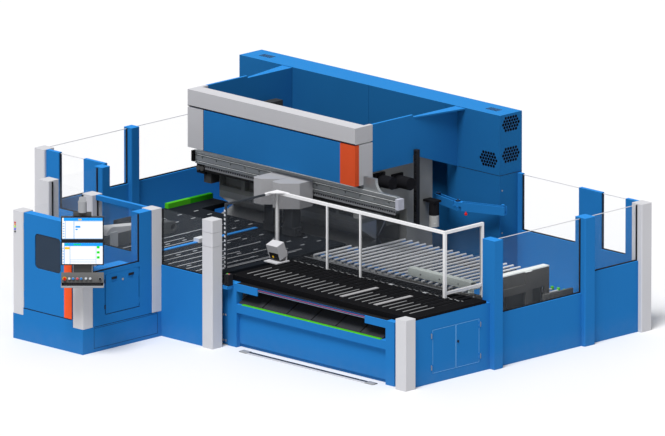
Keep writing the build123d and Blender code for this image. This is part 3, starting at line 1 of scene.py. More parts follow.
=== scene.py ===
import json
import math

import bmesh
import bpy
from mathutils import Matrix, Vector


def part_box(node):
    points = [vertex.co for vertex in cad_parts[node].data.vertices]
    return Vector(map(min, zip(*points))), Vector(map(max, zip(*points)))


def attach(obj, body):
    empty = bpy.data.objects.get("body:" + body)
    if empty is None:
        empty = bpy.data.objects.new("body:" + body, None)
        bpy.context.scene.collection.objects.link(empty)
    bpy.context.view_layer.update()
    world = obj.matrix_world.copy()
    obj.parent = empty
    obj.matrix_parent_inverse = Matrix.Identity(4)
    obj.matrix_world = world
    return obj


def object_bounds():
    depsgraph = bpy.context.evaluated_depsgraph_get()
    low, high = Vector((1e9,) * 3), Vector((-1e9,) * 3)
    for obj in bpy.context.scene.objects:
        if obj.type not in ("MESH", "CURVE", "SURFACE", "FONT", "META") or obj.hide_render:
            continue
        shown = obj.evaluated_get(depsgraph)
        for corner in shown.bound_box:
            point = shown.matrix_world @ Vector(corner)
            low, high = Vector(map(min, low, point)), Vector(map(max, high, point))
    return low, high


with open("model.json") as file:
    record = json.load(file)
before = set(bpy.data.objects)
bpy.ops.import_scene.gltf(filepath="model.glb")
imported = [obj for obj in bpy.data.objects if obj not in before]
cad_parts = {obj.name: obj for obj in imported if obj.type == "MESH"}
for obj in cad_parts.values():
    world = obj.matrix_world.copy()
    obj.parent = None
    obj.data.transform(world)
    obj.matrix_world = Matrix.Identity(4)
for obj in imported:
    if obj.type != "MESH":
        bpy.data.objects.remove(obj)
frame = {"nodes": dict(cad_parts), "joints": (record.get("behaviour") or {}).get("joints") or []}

# %% [markdown]
# # A panel bender in its fenced cell
# The frame holds every sheet, beam, table and door of the cell at its real size, in metres.
# This lesson gives each of them the finish it has on a shop floor, and then adds the small
# things that are too fine for the solids: screens, keys, caps, bolts, seams and strips.
# Nothing in the frame is moved. A new piece rides on the body that carries it.


def rounded(box):
    return [tuple(round(length, 3) for length in corner) for corner in box]


cad_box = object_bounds()
nodes = frame["nodes"]
joint_places = {joint["name"]: joint.get("pos_m") for joint in frame["joints"]}

# %% [markdown]
# ## Shader maths that reads like Python
# A finish is a small network of nodes. Linking them by hand hides the idea, so a socket is wrapped
# in a class whose operators add the Math nodes. `1 - mask * 0.3` then means what it says. Every
# other node comes from one method: its type, its settings first, then its sockets.

# %% A socket that does arithmetic, and a network that owns it
class Field:
    """One output socket of a network. Arithmetic on it adds Math nodes."""

    def __init__(self, network, socket):
        self.network = network
        self.socket = socket

    def math(self, operation, first, second):
        return self.network.node("ShaderNodeMath", {"operation": operation}, {0: first, 1: second})

    def __add__(self, other):
        return self.math("ADD", self, other)

    def __radd__(self, other):
        return self.math("ADD", other, self)

    def __sub__(self, other):
        return self.math("SUBTRACT", self, other)

    def __rsub__(self, other):
        return self.math("SUBTRACT", other, self)

    def __mul__(self, other):
        return self.math("MULTIPLY", self, other)

    def __rmul__(self, other):
        return self.math("MULTIPLY", other, self)

    def __gt__(self, other):
        return self.math("GREATER_THAN", self, other)


class Network:
    """A tree of shader nodes, of a material or of the world."""

    def __init__(self, tree):
        self.tree = tree

    def put(self, socket, value):
        if isinstance(value, Field):
            self.tree.links.new(value.socket, socket)
        else:
            socket.default_value = value

    def node(self, kind, settings=None, sockets=None, output=0):
        made = self.tree.nodes.new(kind)
        for key, value in (settings or {}).items():
            setattr(made, key, value)
        for key, value in (sockets or {}).items():
            self.put(made.inputs[key], value)
        return Field(self, made.outputs[output])


print("sockets and networks ready")

# %% A finish and its colours
class Finish(Network):
    """A material with one Principled shader, built up from fields."""

    def __init__(self, name, **constants):
        self.material = bpy.data.materials.new(name)
        self.material.use_nodes = True
        super().__init__(self.material.node_tree)
        self.shader = self.tree.nodes["Principled BSDF"]
        self.where = self.node("ShaderNodeTexCoord", output="Object")
        self.wear(**constants)

    def noise(self, scale, detail=2.0, stretch=(1.0, 1.0, 1.0)):
        place = self.node("ShaderNodeVectorMath", {"operation": "MULTIPLY"}, {0: self.where, 1: stretch})
        return self.node("ShaderNodeTexNoise", {}, {"Vector": place, "Scale": scale, "Detail": detail})

    def axis(self, letter):
        return self.node("ShaderNodeSeparateXYZ", {}, {0: self.where}, output=letter)

    def slope(self):
        """How far a face looks up: 1 on a level top, 0 on a wall."""
        normal = self.node("ShaderNodeNewGeometry", output="Normal")
        return self.node("ShaderNodeSeparateXYZ", {}, {0: normal}, output="Z")

    def ease(self, value, start, end):
        limits = {"Value": value, "From Min": start, "From Max": end}
        return self.node("ShaderNodeMapRange", {"interpolation_type": "SMOOTHSTEP"}, limits)

    def mix(self, share, first, second):
        return self.node("ShaderNodeMix", {"data_type": "RGBA"}, {0: share, 6: first, 7: second}, output=2)

    def bump(self, height, distance, strength):
        sockets = {"Strength": strength, "Distance": distance, "Height": height}
        self.put(self.shader.inputs["Normal"], self.node("ShaderNodeBump", {}, sockets))

    def wear(self, **values):
        for key, value in values.items():
            self.put(self.shader.inputs[key.replace("_", " ")], value)
        return self


def srgb(red, green, blue):
    """A colour as a screen shows it, from 0 to 255, turned into the linear light that shaders use."""
    def linear(channel):
        share = channel / 255
        return share / 12.92 if share <= 0.04045 else ((share + 0.055) / 1.055) ** 2.4
    return (linear(red), linear(green), linear(blue), 1.0)


def shade(colour, factor):
    """The same colour, darker or lighter."""
    return tuple(min(1.0, channel * factor) for channel in colour[:3]) + (1.0,)


print("finish helpers ready")

# %% [markdown]
# ## Powder-coated sheet
# Most of the cell is folded sheet with a satin powder coat. Up close the coat has a fine orange
# peel, its tone wanders a little from panel to panel, and dust settles low down near the floor.
# Three noises give that: a wide one for tone, a middling one for dust, a tiny one for the peel. Faces
# that look up are painted lighter: a painted highlight of the strong light from above.

# %% Paint for panels, posts and covers
satin = 0.006  # Low reflection, so a top seen at a low angle keeps its colour.
dust_height = 0.35
dust_grey = srgb(150, 150, 150)


def sheet_paint(name, colour, lift=1.1):
    finish = Finish(name, Specular_IOR_Level=satin)
    tone = finish.noise(1.1, 3.0)
    cloud = finish.noise(9.0, 4.0)
    peel = finish.noise(420.0, 1.0)
    low = (1 - finish.ease(finish.axis("Z"), 0.0, dust_height)) * cloud * 0.5
    painted = finish.mix(tone, shade(colour, 0.95), shade(colour, 1.05))
    # Faces that look up get a lighter copy of the coat: a painted highlight of the light from above.
    looks_up = finish.ease(finish.slope(), 0.75, 0.98)
    top_highlighted = finish.mix(looks_up, painted, shade(colour, lift))
    dusty = finish.mix(low * 0.2, top_highlighted, dust_grey)
    finish.bump(peel, 0.0004, 0.35)
    return finish.wear(Base_Color=dusty, Roughness=0.46 + cloud * 0.1 + low * 0.3)


blue_paint = sheet_paint("blue powder coat", srgb(36, 114, 181), 1.6)
# Darker copies of the blue coat: painted shade on the columns, the beam, the hood and the corner plate.
deeper_shade_blue = sheet_paint("blue powder coat with deeper painted shade", srgb(31, 100, 157), 1.9)
painted_shade_blue = sheet_paint("blue powder coat with painted shade", srgb(34, 107, 169), 1.8)
grey_paint = sheet_paint("light grey powder coat", srgb(199, 199, 203))
orange_paint = sheet_paint("orange powder coat", srgb(240, 92, 50))
hood_grey = sheet_paint("light grey powder coat of the hood", srgb(183, 183, 187), 1.3)
# A darker copy of the orange coat: painted shade on the hood's stripe.
painted_shade_orange = sheet_paint("orange powder coat with painted shade", srgb(210, 82, 46))
dark_paint = sheet_paint("dark grey powder coat", srgb(82, 82, 82))
silver_paint = sheet_paint("silver grey powder coat", srgb(150, 152, 156))
print("sheet paints ready, among them", blue_paint.material.name, "and", grey_paint.material.name)

# %% [markdown]
# ## Black coat of the chute and the tables
# Sheets slide over plates with a hard textured coat. Sliding metal leaves long faint scratches, so a
# noise stretched along the travel lifts the tone and lowers the roughness in streaks.

# %% Textured black coat with sliding marks
travel = (1.0, 0.03, 1.0)


def sliding_marks(finish, colour):
    """Where sheets have slid, and the coat's colour with those marks."""
    streak = finish.ease(finish.noise(30.0, 5.0, travel), 0.55, 0.78)
    return streak, finish.mix(streak * 0.35, shade(colour, 0.9), shade(colour, 1.9))


def table_coat(name, colour):
    finish = Finish(name, Specular_IOR_Level=satin)
    streak, worn = sliding_marks(finish, colour)
    cloud = finish.noise(2.2, 3.0)
    finish.bump(finish.noise(900.0, 2.0), 0.0006, 0.5)
    return finish.wear(Base_Color=worn, Roughness=0.52 + cloud * 0.14 - streak * 0.12)


black_coat = table_coat("black table coat", srgb(62, 63, 67))
print("table coat ready")

# %% [markdown]
# ## Bare and painted metal of the bending head
# Ground tool steel shows the lines of the grinding wheel, anodised rails are finer and paler, and the
# castings carry a thick grey-green paint with the sand texture still under it.

# %% Steel, aluminium and castings
lines_along_x = (0.05, 1.0, 1.0)
lines_along_y = (1.0, 0.05, 1.0)


def ground_metal(name, colour, roughness, along, lines=700.0):
    finish = Finish(name, Metallic=1.0)
    grind = finish.noise(lines, 3.0, along)
    cloud = finish.noise(5.0, 3.0)
    finish.bump(grind, 0.0002, 0.4)
    tone = finish.mix(cloud, shade(colour, 0.88), shade(colour, 1.06))
    return finish.wear(Base_Color=tone, Roughness=roughness + grind * 0.12 + cloud * 0.08)


def cast_paint(name, colour):
    finish = Finish(name, Specular_IOR_Level=0.05)
    sand = finish.noise(160.0, 4.0)
    cloud = finish.noise(2.5, 3.0)
    oil = finish.ease(finish.noise(3.7, 5.0), 0.58, 0.75)
    tone = finish.mix(cloud, shade(colour, 0.86), shade(colour, 1.1))
    oily = finish.mix(oil * 0.3, tone, shade(colour, 0.5))
    finish.bump(sand, 0.0012, 0.5)
    return finish.wear(Base_Color=oily, Roughness=0.48 - oil * 0.2 + sand * 0.1)


steel = ground_metal("ground tool steel", srgb(150, 152, 154), 0.34, lines_along_x)
aluminium = ground_metal("anodised aluminium", srgb(186, 188, 192), 0.4, lines_along_y, 1200.0)
rail_metal = ground_metal("drawn aluminium rail", srgb(160, 164, 166), 0.42, lines_along_x, 1200.0)
casting = cast_paint("painted casting", srgb(128, 131, 130))
print("metals ready")

# %% [markdown]
# ## Moulded plastics
# Keys, caps and belts are moulded. They have a fine spark-eroded grain and a soft sheen, and the
# handled ones are a little smoother where hands polish them.

# %% Plastics
def moulded(name, colour, roughness=0.45):
    finish = Finish(name, Specular_IOR_Level=0.1)
    grain = finish.noise(1400.0, 2.0)
    polish = finish.noise(14.0, 3.0)
    finish.bump(grain, 0.0002, 0.3)
    tone = finish.mix(polish, shade(colour, 0.94), shade(colour, 1.05))
    return finish.wear(Base_Color=tone, Roughness=roughness - polish * 0.12)


black_plastic = moulded("black moulding", srgb(34, 34, 37))
rubber = moulded("black rubber seal", srgb(24, 24, 26), 0.7)
white_plastic = moulded("white belt", srgb(214, 216, 220), 0.5)
brush_plastic = moulded("pale brush strip", srgb(150, 151, 152), 0.6)
red_plastic = moulded("red cap", srgb(206, 30, 26), 0.3)
pink_plastic = moulded("pale red cap", srgb(214, 84, 96), 0.3)
yellow_plastic = moulded("yellow collar", srgb(232, 184, 30), 0.35)
blue_plastic = moulded("blue cap", srgb(60, 140, 214), 0.3)
green_plastic = moulded("green strip", srgb(92, 206, 36), 0.35)
key_grey = moulded("dark key", srgb(38, 39, 42), 0.5)
print("plastics ready")

# %% [markdown]
# ## Sheets to look through
# The fence has clear polycarbonate panes and the guards near the operator are smoked. A pane is thin, so
# alpha does the work of refraction and stays the same in every viewer. Faint smears change the gloss.

# %% Clear and smoked panes
def pane(name, tint, cover):
    finish = Finish(name, Specular_IOR_Level=0.15)
    smear = finish.noise(6.0, 5.0)
    tone = finish.mix(smear, tint, shade(tint, 1.06))
    return finish.wear(Base_Color=tone, Roughness=0.04 + smear * 0.08, Alpha=cover + smear * 0.012)


clear_pane = pane("clear fence pane", srgb(214, 224, 234), 0.014)
smoked_pane = pane("smoked guard pane", srgb(62, 65, 70), 0.21)
door_pane = pane("dark door window", srgb(46, 60, 76), 0.72)
print("panes ready")

# %% [markdown]
# ## Finishes chosen by place
# Some nodes hold pieces of two colours: pale brush pads in the black table, grey bars on the feed table and
# the column of status lenses. Their place tells them apart, so one finish mixes its colours by X, Y or Z.
# The slim left run of the guard is dark, and the rest of it is white.

# %% Table pads, feed bars and other coats of two colours
def stepped(name, base, level, beyond, axis="Z"):
    """A worn coat that changes colour beyond a level."""
    finish = Finish(name, Specular_IOR_Level=satin)
    streak, under = sliding_marks(finish, base)
    grain = finish.noise(700.0, 3.0)
    finish.bump(grain, 0.0008, 0.5)
    tone = finish.mix(finish.axis(axis) > level, under, beyond)
    return finish.wear(Base_Color=tone, Roughness=0.54 + grain * 0.1 - streak * 0.1)


padded_table = stepped("working table", srgb(31, 35, 41), 0.9704, srgb(176, 180, 184))
barred_table = stepped("feed table", srgb(22, 22, 24), 0.9705, srgb(168, 167, 169))
flanged_frame = stepped("conveyor frame", srgb(84, 83, 82), 1.064, srgb(232, 236, 234))
carriage_coat = stepped("carriage coat", srgb(52, 54, 58), 1.408, srgb(170, 170, 173))
frame_casting = stepped("frame casting", srgb(66, 68, 70), 0.56, srgb(142, 143, 142), "X")
motor_coat = stepped("motor coat", srgb(184, 184, 182), 1.22, srgb(30, 30, 33))
# The loading arm is dark below its level: painted shade on its shaded lower side.
arm_coat_with_painted_shade = stepped("loading arm coat with painted shade below", srgb(84, 86, 88), 1.15, srgb(192, 193, 195))
shelf_coat = stepped("key panel coat", srgb(26, 26, 29), 1.056, srgb(112, 112, 112))
rail_end_coat = stepped("rail end coat", srgb(30, 30, 33), 0.0, srgb(186, 188, 200), "X")
split_green = stepped("green strip", srgb(84, 196, 40), 1.29, srgb(44, 158, 22), "Y")
print("stepped finishes ready")

# %% Guard coat and status lenses
guard_coat = Finish("white guard coat", Specular_IOR_Level=satin)
front_run = guard_coat.axis("Y") > -0.24
guard_grain = guard_coat.noise(420.0, 1.0)
guard_coat.bump(guard_grain, 0.0004, 0.35)
guard_tone = guard_coat.mix(front_run, srgb(66, 70, 76), srgb(234, 234, 236))
guard_coat.wear(Base_Color=guard_tone, Roughness=0.45 + guard_grain * 0.1)

lens_bottoms = (1.523, 1.558, 1.590, 1.618)
lens_colours = (srgb(40, 60, 230), srgb(150, 230, 30), srgb(240, 150, 20), srgb(200, 24, 24))
lenses = Finish("status lenses", Coat_Weight=0.6)
lens_colour = srgb(24, 24, 26)
for bottom, colour in zip(lens_bottoms, lens_colours):
    lens_colour = lenses.mix(lenses.axis("Z") > bottom, lens_colour, colour)
lens_ribs = lenses.noise(500.0, 1.0)
lenses.bump(lens_ribs, 0.0004, 0.4)
lenses.wear(Base_Color=lens_colour, Roughness=0.18 + lens_ribs * 0.1)
print("guard coat and", len(lens_colours) + 1, "lens colours ready")

# %% [markdown]
# ## Every node gets its finish
# The record already says which slot each node belongs to, but a few nodes share a slot and still look
# different on the machine, so the table below names the finish for each node.

# %% Dressing the nodes
dressing = {
    blue_paint: (
        "belt_brackets cabinet_door_front cabinet_door_rear console_door console_plinth console_walls"
        " fence_panels fence_posts_blue gripper_track side_cabinet small_door swing_arm_inner swing_arm_outer"
        " table_frame"
    ),
    # These two lines take darker copies of the blue coat: painted shade.
    deeper_shade_blue: "columns rear_beam",
    painted_shade_blue: "hood_front_panel hood_sides",
    grey_paint: "fence_posts_grey pedestal",
    hood_grey: "hood_grey_covers",
    carriage_coat: "tool_carriage_left tool_carriage_right",
    orange_paint: "console_door_stripe",
    # The hood's stripe takes the darker copy of the orange coat: painted shade.
    painted_shade_orange: "hood_stripe",
    guard_coat: "guard_frame",
    silver_paint: "monitor_arm",
    dark_paint: "monitor_plate",
    flanged_frame: "conveyor_frame",
    black_coat: "chute",
    padded_table: "working_table",
    barred_table: "feed_table",
    steel: "bending_blades conveyor_shaft lower_die upper_tools",
    aluminium: "floor_strip",
    # The loading arm's dark lower part is painted shade.
    arm_coat_with_painted_shade: "loading_arm",
    rail_metal: "tool_rail",
    casting: "blade_beam blade_saddle blank_holder_beam frame_tie_beam machine_bed",
    frame_casting: "side_frames",
    black_plastic: "control_box door_latch light_curtain monitors",
    motor_coat: "servo_motors",
    rail_end_coat: "tool_rail_ends",
    shelf_coat: "key_panel",
    white_plastic: "conveyor_belts gripper_carriage",
    split_green: "green_strips",
    red_plastic: "emergency_button",
    clear_pane: "fence_glass",
    smoked_pane: "guard_glass",
    door_pane: "console_door_window",
    lenses: "status_lights",
}
for finish, names in dressing.items():
    for name in names.split():
        node = nodes[name]
        node.data.materials.clear()
        node.data.materials.append(finish.material)
dressed = {name for names in dressing.values() for name in names.split()}
print("dressed", len(dressed), "of", len(nodes), "nodes, left:", sorted(set(nodes) - dressed))

# %% [markdown]
# ## Building new pieces
# A new piece is a mesh of rounded blocks and turned forms, each with its own finish. A block is given by its
# two ends along X, Y and Z, as on a drawing. Blocks are drawn in place, in the row frame, or in a turned
# frame of their own such as the operator panel's.

# %% Lengths and directions
to_right, to_back, to_front = (1, 0, 0), (0, 1, 0), (0, -1, 0)
upward, downward = (0, 0, 1), (0, 0, -1)


def about(middle, width):
    """The two ends of a length that lies evenly about its middle."""
    return middle - width / 2, middle + width / 2


def inset(ends, by):
    """The same length, shorter by an equal step at both ends."""
    return ends[0] + by, ends[1] - by


def between(start, end, share):
    return start + (end - start) * share


print("a length of 0.2 about 1 runs from", *about(1.0, 0.2))

# %% A small mesh builder
class Shape:
    """Collects blocks and turned forms into one piece that rides on a body."""

    def __init__(self, name, body, slot, place=None):
        self.name = name
        self.body = body
        self.slot = slot
        self.place = place or Matrix.Identity(4)
        self.finishes = []
        self.mesh = bmesh.new()

    def add(self, part, finish):
        """Joins a part, made in its own mesh, to the piece."""
        if finish not in self.finishes:
            self.finishes.append(finish)
        for face in part.faces:
            face.material_index = self.finishes.index(finish)
        part.transform(self.place)
        scratch = bpy.data.meshes.new("scratch")
        part.to_mesh(scratch)
        part.free()
        self.mesh.from_mesh(scratch)
        bpy.data.meshes.remove(scratch)

    def block(self, x, y, z, finish, edge=0.0, steps=2):
        """A block between two ends along each axis, with its edges rounded."""
        part = bmesh.new()
        bmesh.ops.create_cube(part, size=1.0)
        size = [end - start for start, end in (x, y, z)]
        middle = [(start + end) / 2 for start, end in (x, y, z)]
        part.transform(Matrix.Translation(middle) @ Matrix.Diagonal((*size, 1.0)))
        if edge:
            edges = part.edges[:]
            bmesh.ops.bevel(part, geom=edges, offset=edge, segments=steps, affect="EDGES", profile=0.5)
        self.add(part, finish)

    def turned(self, base, axis, profile, finish, sides=32):
        """A turned form about an axis: the profile gives (distance along it, radius)."""
        part = bmesh.new()
        rings = []
        for along, radius in profile:
            ring = []
            for index in range(sides):
                angle = 2 * math.pi * index / sides
                ring.append(part.verts.new((radius * math.cos(angle), radius * math.sin(angle), along)))
            rings.append(ring)
        for lower, upper in zip(rings, rings[1:]):
            for index in range(sides):
                after = (index + 1) % sides
                part.faces.new((lower[index], lower[after], upper[after], upper[index]))
        part.faces.new(list(reversed(rings[0])))
        part.faces.new(rings[-1])
        turn = Vector((0, 0, 1)).rotation_difference(Vector(axis)).to_matrix().to_4x4()
        part.transform(Matrix.Translation(Vector(base)) @ turn)
        self.add(part, finish)

    def done(self):
        data = bpy.data.meshes.new(self.name)
        bmesh.ops.recalc_face_normals(self.mesh, faces=self.mesh.faces[:])
        self.mesh.to_mesh(data)
        self.mesh.free()
        for finish in self.finishes:
            data.materials.append(finish.material)
        data.shade_smooth()
        data.set_sharp_from_angle(angle=math.radians(35.0))
        piece = bpy.data.objects.new(self.name, data)
        bpy.context.collection.objects.link(piece)
        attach(piece, self.body)
        print(self.name, "has", len(data.polygons), "faces on", self.body)


# %% [markdown]
# ## Reading places off the frame
# New pieces should sit where the solids are, so their places are read from the node meshes. A node may hold
# several solids, such as all the panes of the fence: they are told apart by walking along the edges.

# %% Corners of a node in a turned frame, and of each solid in a node
def corners(points):
    points = list(points)
    low = Vector([min(point[axis] for point in points) for axis in range(3)])
    return low, Vector([max(point[axis] for point in points) for axis in range(3)])


def local_box(node, place):
    """Lowest and highest corner of a node in a turned frame."""
    back = place.inverted()
    return corners(back @ vertex.co for vertex in nodes[node].data.vertices)


def solids_of(node):
    """The corners of every separate solid in one node."""
    part = bmesh.new()
    part.from_mesh(nodes[node].data)
    bmesh.ops.remove_doubles(part, verts=part.verts[:], dist=1e-6)
    left = set(part.verts)
    boxes = []
    while left:
        waiting = [left.pop()]
        group = []
        while waiting:
            vertex = waiting.pop()
            group.append(vertex.co.copy())
            for edge in vertex.link_edges:
                other = edge.other_vert(vertex)
                if other in left:
                    left.discard(other)
                    waiting.append(other)
        boxes.append(corners(group))
    part.free()
    return boxes


panes = solids_of("fence_glass")
print(len(panes), "panes in the fence,", len(solids_of("conveyor_belts")), "belts on the conveyor")

# %% [markdown]
# ## The operator's screens
# Two wide screens show the order list and the running program. Each is a lit sheet behind its bezel, with
# bars, columns and lamps as thin lit blocks. They say nothing, so they suit any job. A black bridge closes
# the gap between the two monitors. The panel stands at 45 degrees, so the work is done in its own frame,
# whose Y runs into the panel.

# %% Lit colours and the panel's own frame
def lit(name, colour):
    finish = Finish(name, Base_Color=shade(colour, 0.2), Specular_IOR_Level=0.02, Emission_Strength=0.85)
    dots = finish.noise(2600.0, 0.0)
    return finish.wear(Emission_Color=finish.mix(dots, shade(colour, 0.97), shade(colour, 1.03)))


lit_white = lit("lit white", srgb(252, 253, 255))
lit_blue = lit("lit blue", srgb(36, 160, 250))
lit_pale = lit("lit pale blue", srgb(150, 194, 240))
lit_green = lit("lit green", srgb(16, 232, 24))
lit_amber = lit("lit amber", srgb(250, 200, 40))

swivel = Vector((*joint_places["panel_swivel"][:2], 0.0))
panel_frame = Matrix.Translation(swivel) @ Matrix.Rotation(math.pi / 4, 4, "Z")
monitor_low, monitor_high = local_box("monitors", panel_frame)
monitor_tall = 0.326
bezel = 0.015
print("monitors in their own frame", rounded((monitor_low, monitor_high)))

# %% The two screens and the bridge
screen_x = inset((monitor_low.x, monitor_high.x), bezel)
sheet_front = monitor_low.y + 0.0012
sheet_y = (sheet_front, sheet_front + 0.0026)
bar_y = (sheet_front - 0.0006, sheet_front - 0.0001)


def screen(name, bottom, bars):
    """A lit sheet with flat bars, each given by its finish and its ends as shares of the screen."""
    shape = Shape(name, "operator_panel", "black_plastic", panel_frame)
    screen_z = inset((bottom, bottom + monitor_tall), bezel)
    shape.block(screen_x, sheet_y, screen_z, lit_white, 0.0008, 1)
    for finish, x0, x1, z0, z1 in bars:
        bar_x = (between(*screen_x, x0), between(*screen_x, x1))
        bar_z = (between(*screen_z, z0), between(*screen_z, z1))
        shape.block(bar_x, bar_y, bar_z, finish, 0.0002, 1)
    shape.done()


order_bars = [
    (lit_blue, 0.04, 1.0, 0.85, 1.0), (lit_amber, 0.4, 0.48, 0.88, 0.96), (lit_blue, 0.285, 0.3, 0.0, 0.85),
    (lit_blue, 0.33, 0.45, 0.53, 0.62), (lit_blue, 0.33, 0.385, 0.42, 0.48),
    (lit_pale, 0.07, 0.085, 0.02, 0.85), (lit_pale, 0.31, 1.0, 0.81, 0.825), (lit_pale, 0.0, 1.0, 0.0, 0.025),
]
order_bars += [(lit_pale, 0.015, 0.055, 0.1 + 0.12 * row, 0.15 + 0.12 * row) for row in range(6)]
program_bars = [
    (lit_blue, 0.05, 1.0, 0.85, 1.0), (lit_green, 0.06, 0.14, 0.9, 0.97), (lit_green, 0.28, 0.46, 0.89, 0.97),
    (lit_amber, 0.06, 0.185, 0.7, 0.8), (lit_blue, 0.043, 0.057, 0.0, 0.85), (lit_pale, 0.185, 0.2, 0.0, 0.85),
    (lit_pale, 0.83, 0.842, 0.0, 0.85), (lit_pale, 0.2, 0.83, 0.09, 0.11), (lit_pale, 0.2, 0.83, 0.19, 0.21),
]
program_bars += [(lit_pale, 0.008, 0.036, 0.06 + 0.13 * row, 0.12 + 0.13 * row) for row in range(6)]
program_bars += [(lit_green, 0.855, 0.925, 0.26 + 0.24 * row, 0.37 + 0.24 * row) for row in range(3)]
screen("upper_screen", monitor_high.z - monitor_tall, order_bars)
screen("lower_screen", monitor_low.z, program_bars)

bridge = Shape("monitor_bridge", "operator_panel", "black_plastic", panel_frame)
bridge_x = inset((monitor_low.x, monitor_high.x), 0.004)
bridge_y = (monitor_low.y + 0.006, monitor_high.y - 0.004)
bridge_z = (monitor_low.z + monitor_tall - 0.002, monitor_high.z - monitor_tall + 0.002)
bridge.block(bridge_x, bridge_y, bridge_z, black_plastic, 0.002)
bridge.done()

# %% [markdown]
# ## Rubber seals round the panes
# A polycarbonate pane stands in the fence in a black rubber channel, pushed over its lower edge and both ends.
# It keeps the pane from rattling and hides the cut edge, and from a distance it draws the thin dark outline of
# every bay. The free upper edge of a pane behind the tables wears a thin clip-on strip that takes the
# sharpness off it.

# %% Seals
lip_wide = 0.007
channel_deep = 0.016
channel_wide = 0.014
behind_tables = -0.3
seals = Shape("pane_seals", "cell", "black_plastic")
for low, high in panes:
    across = 0 if high.x - low.x < high.y - low.y else 1
    along = 1 - across
    lip = Vector((0, 0, 0))
    lip[across] = lip_wide
    foot = high.copy()
    foot.z = low.z + channel_deep
    seals.block(*zip(low - lip, foot + lip), rubber, 0.003)
    for start in (low[along], high[along] - channel_wide):
        end_low, end_high = low - lip, high + lip
        end_low[along], end_high[along] = start, start + channel_wide
        end_low.z = foot.z
        seals.block(*zip(end_low, end_high), rubber, 0.003)
    if low.y > behind_tables:
        top_low, top_high = low - lip * 0.3, high + lip * 0.3
        top_low[along] += channel_wide
        top_high[along] -= channel_wide
        top_low.z, top_high.z = high.z - 0.005, high.z + 0.0015
        seals.block(*zip(top_low, top_high), grey_paint, 0.001)
seals.done()

# %% [markdown]
# ## Keys and caps of the operator panel
# Under the screens sits a moulded panel with a row of push buttons and, on a shelf, a short keyboard. The caps
# are turned with a domed face and pushed on to the buttons of the frame; each key is a small rounded block with
# a gap round it. The stop button itself is a moving piece of the frame, so only its yellow ring is added here.

# %% Caps on the push buttons
panel_low, panel_high = local_box("key_panel", panel_frame)
panel_wide = panel_high.x - panel_low.x
panel_middle = (panel_low.x + panel_high.x) / 2
stop_low, stop_high = local_box("emergency_button", panel_frame)
stop_middle = (stop_low.x + stop_high.x) / 2
button_z = (stop_low.z + stop_high.z) / 2
button_face = stop_high.y - 0.026
ring_profile = [(0.0, 0.021), (0.003, 0.021), (0.0045, 0.018), (0.0045, 0.0165)]
cap_profile = [(0.0005, 0.016), (0.0095, 0.016), (0.0125, 0.0145), (0.014, 0.011), (0.0145, 0.0005)]
collar_profile = [(0.0, 0.027), (0.002, 0.027), (0.003, 0.0255), (0.003, 0.0222)]
cap_places = (
    (-0.31, white_plastic), (-0.22, blue_plastic), (-0.12, pink_plastic), (-0.03, blue_plastic),
    (0.08, white_plastic), (0.18, white_plastic), (0.41, black_plastic),
)
caps = Shape("button_caps", "operator_panel", "white_plastic", panel_frame)
for share, finish in cap_places:
    centre = (panel_middle + share * panel_wide, button_face + 0.0095, button_z)
    caps.turned(centre, to_front, ring_profile, silver_paint)
    caps.turned(centre, to_front, cap_profile, finish)
caps.turned((stop_middle, button_face + 0.011, button_z), to_front, collar_profile, yellow_plastic, 40)
caps.done()

# %% Keyboard and the bright edges of its shelf
shelf_top = 1.045
tray_x = inset((panel_low.x, panel_high.x), 0.036)
tray_y = (panel_low.y + 0.036, button_face - 0.026)
key_z = (shelf_top + 0.008, shelf_top + 0.014)
key_gap = 0.0015
columns = 17
rows = 5
key_wide = (tray_x[1] - tray_x[0]) / columns
key_deep = (tray_y[1] - tray_y[0]) / rows
keyboard = Shape("keyboard_keys", "operator_panel", "black_plastic", panel_frame)
for row in range(rows):
    column = 0
    while column < columns:
        units = 6 if row == 0 and column == 4 else 2 if column == 0 and row in (1, 2) else 1
        left = tray_x[0] + key_wide * column
        near = tray_y[0] + key_deep * row
        key_x = inset((left, left + key_wide * units), key_gap)
        keyboard.block(key_x, inset((near, near + key_deep), key_gap), key_z, key_grey, 0.002)
        column += units
edge_x = (panel_low.x - 0.002, panel_high.x + 0.002)
edge_z = (shelf_top - 0.023, shelf_top + 0.004)
keyboard.block(edge_x, (panel_low.y - 0.003, panel_low.y + 0.012), edge_z, silver_paint, 0.003)
for side in (edge_x[0], edge_x[1] - 0.008):
    keyboard.block((side, side + 0.008), (panel_low.y, button_face + 0.06), edge_z, silver_paint, 0.003)
keyboard.done()

# %% [markdown]
# ## Strips, slats and lines of the two tables
# The feed table is a grid of black slats with pale brush strips that carry the sheet without scratching it. The
# working table has longer strips along the travel. Each strip is a thin rounded bar, clipped into a groove, so
# it stands only a few millimetres above the plate.

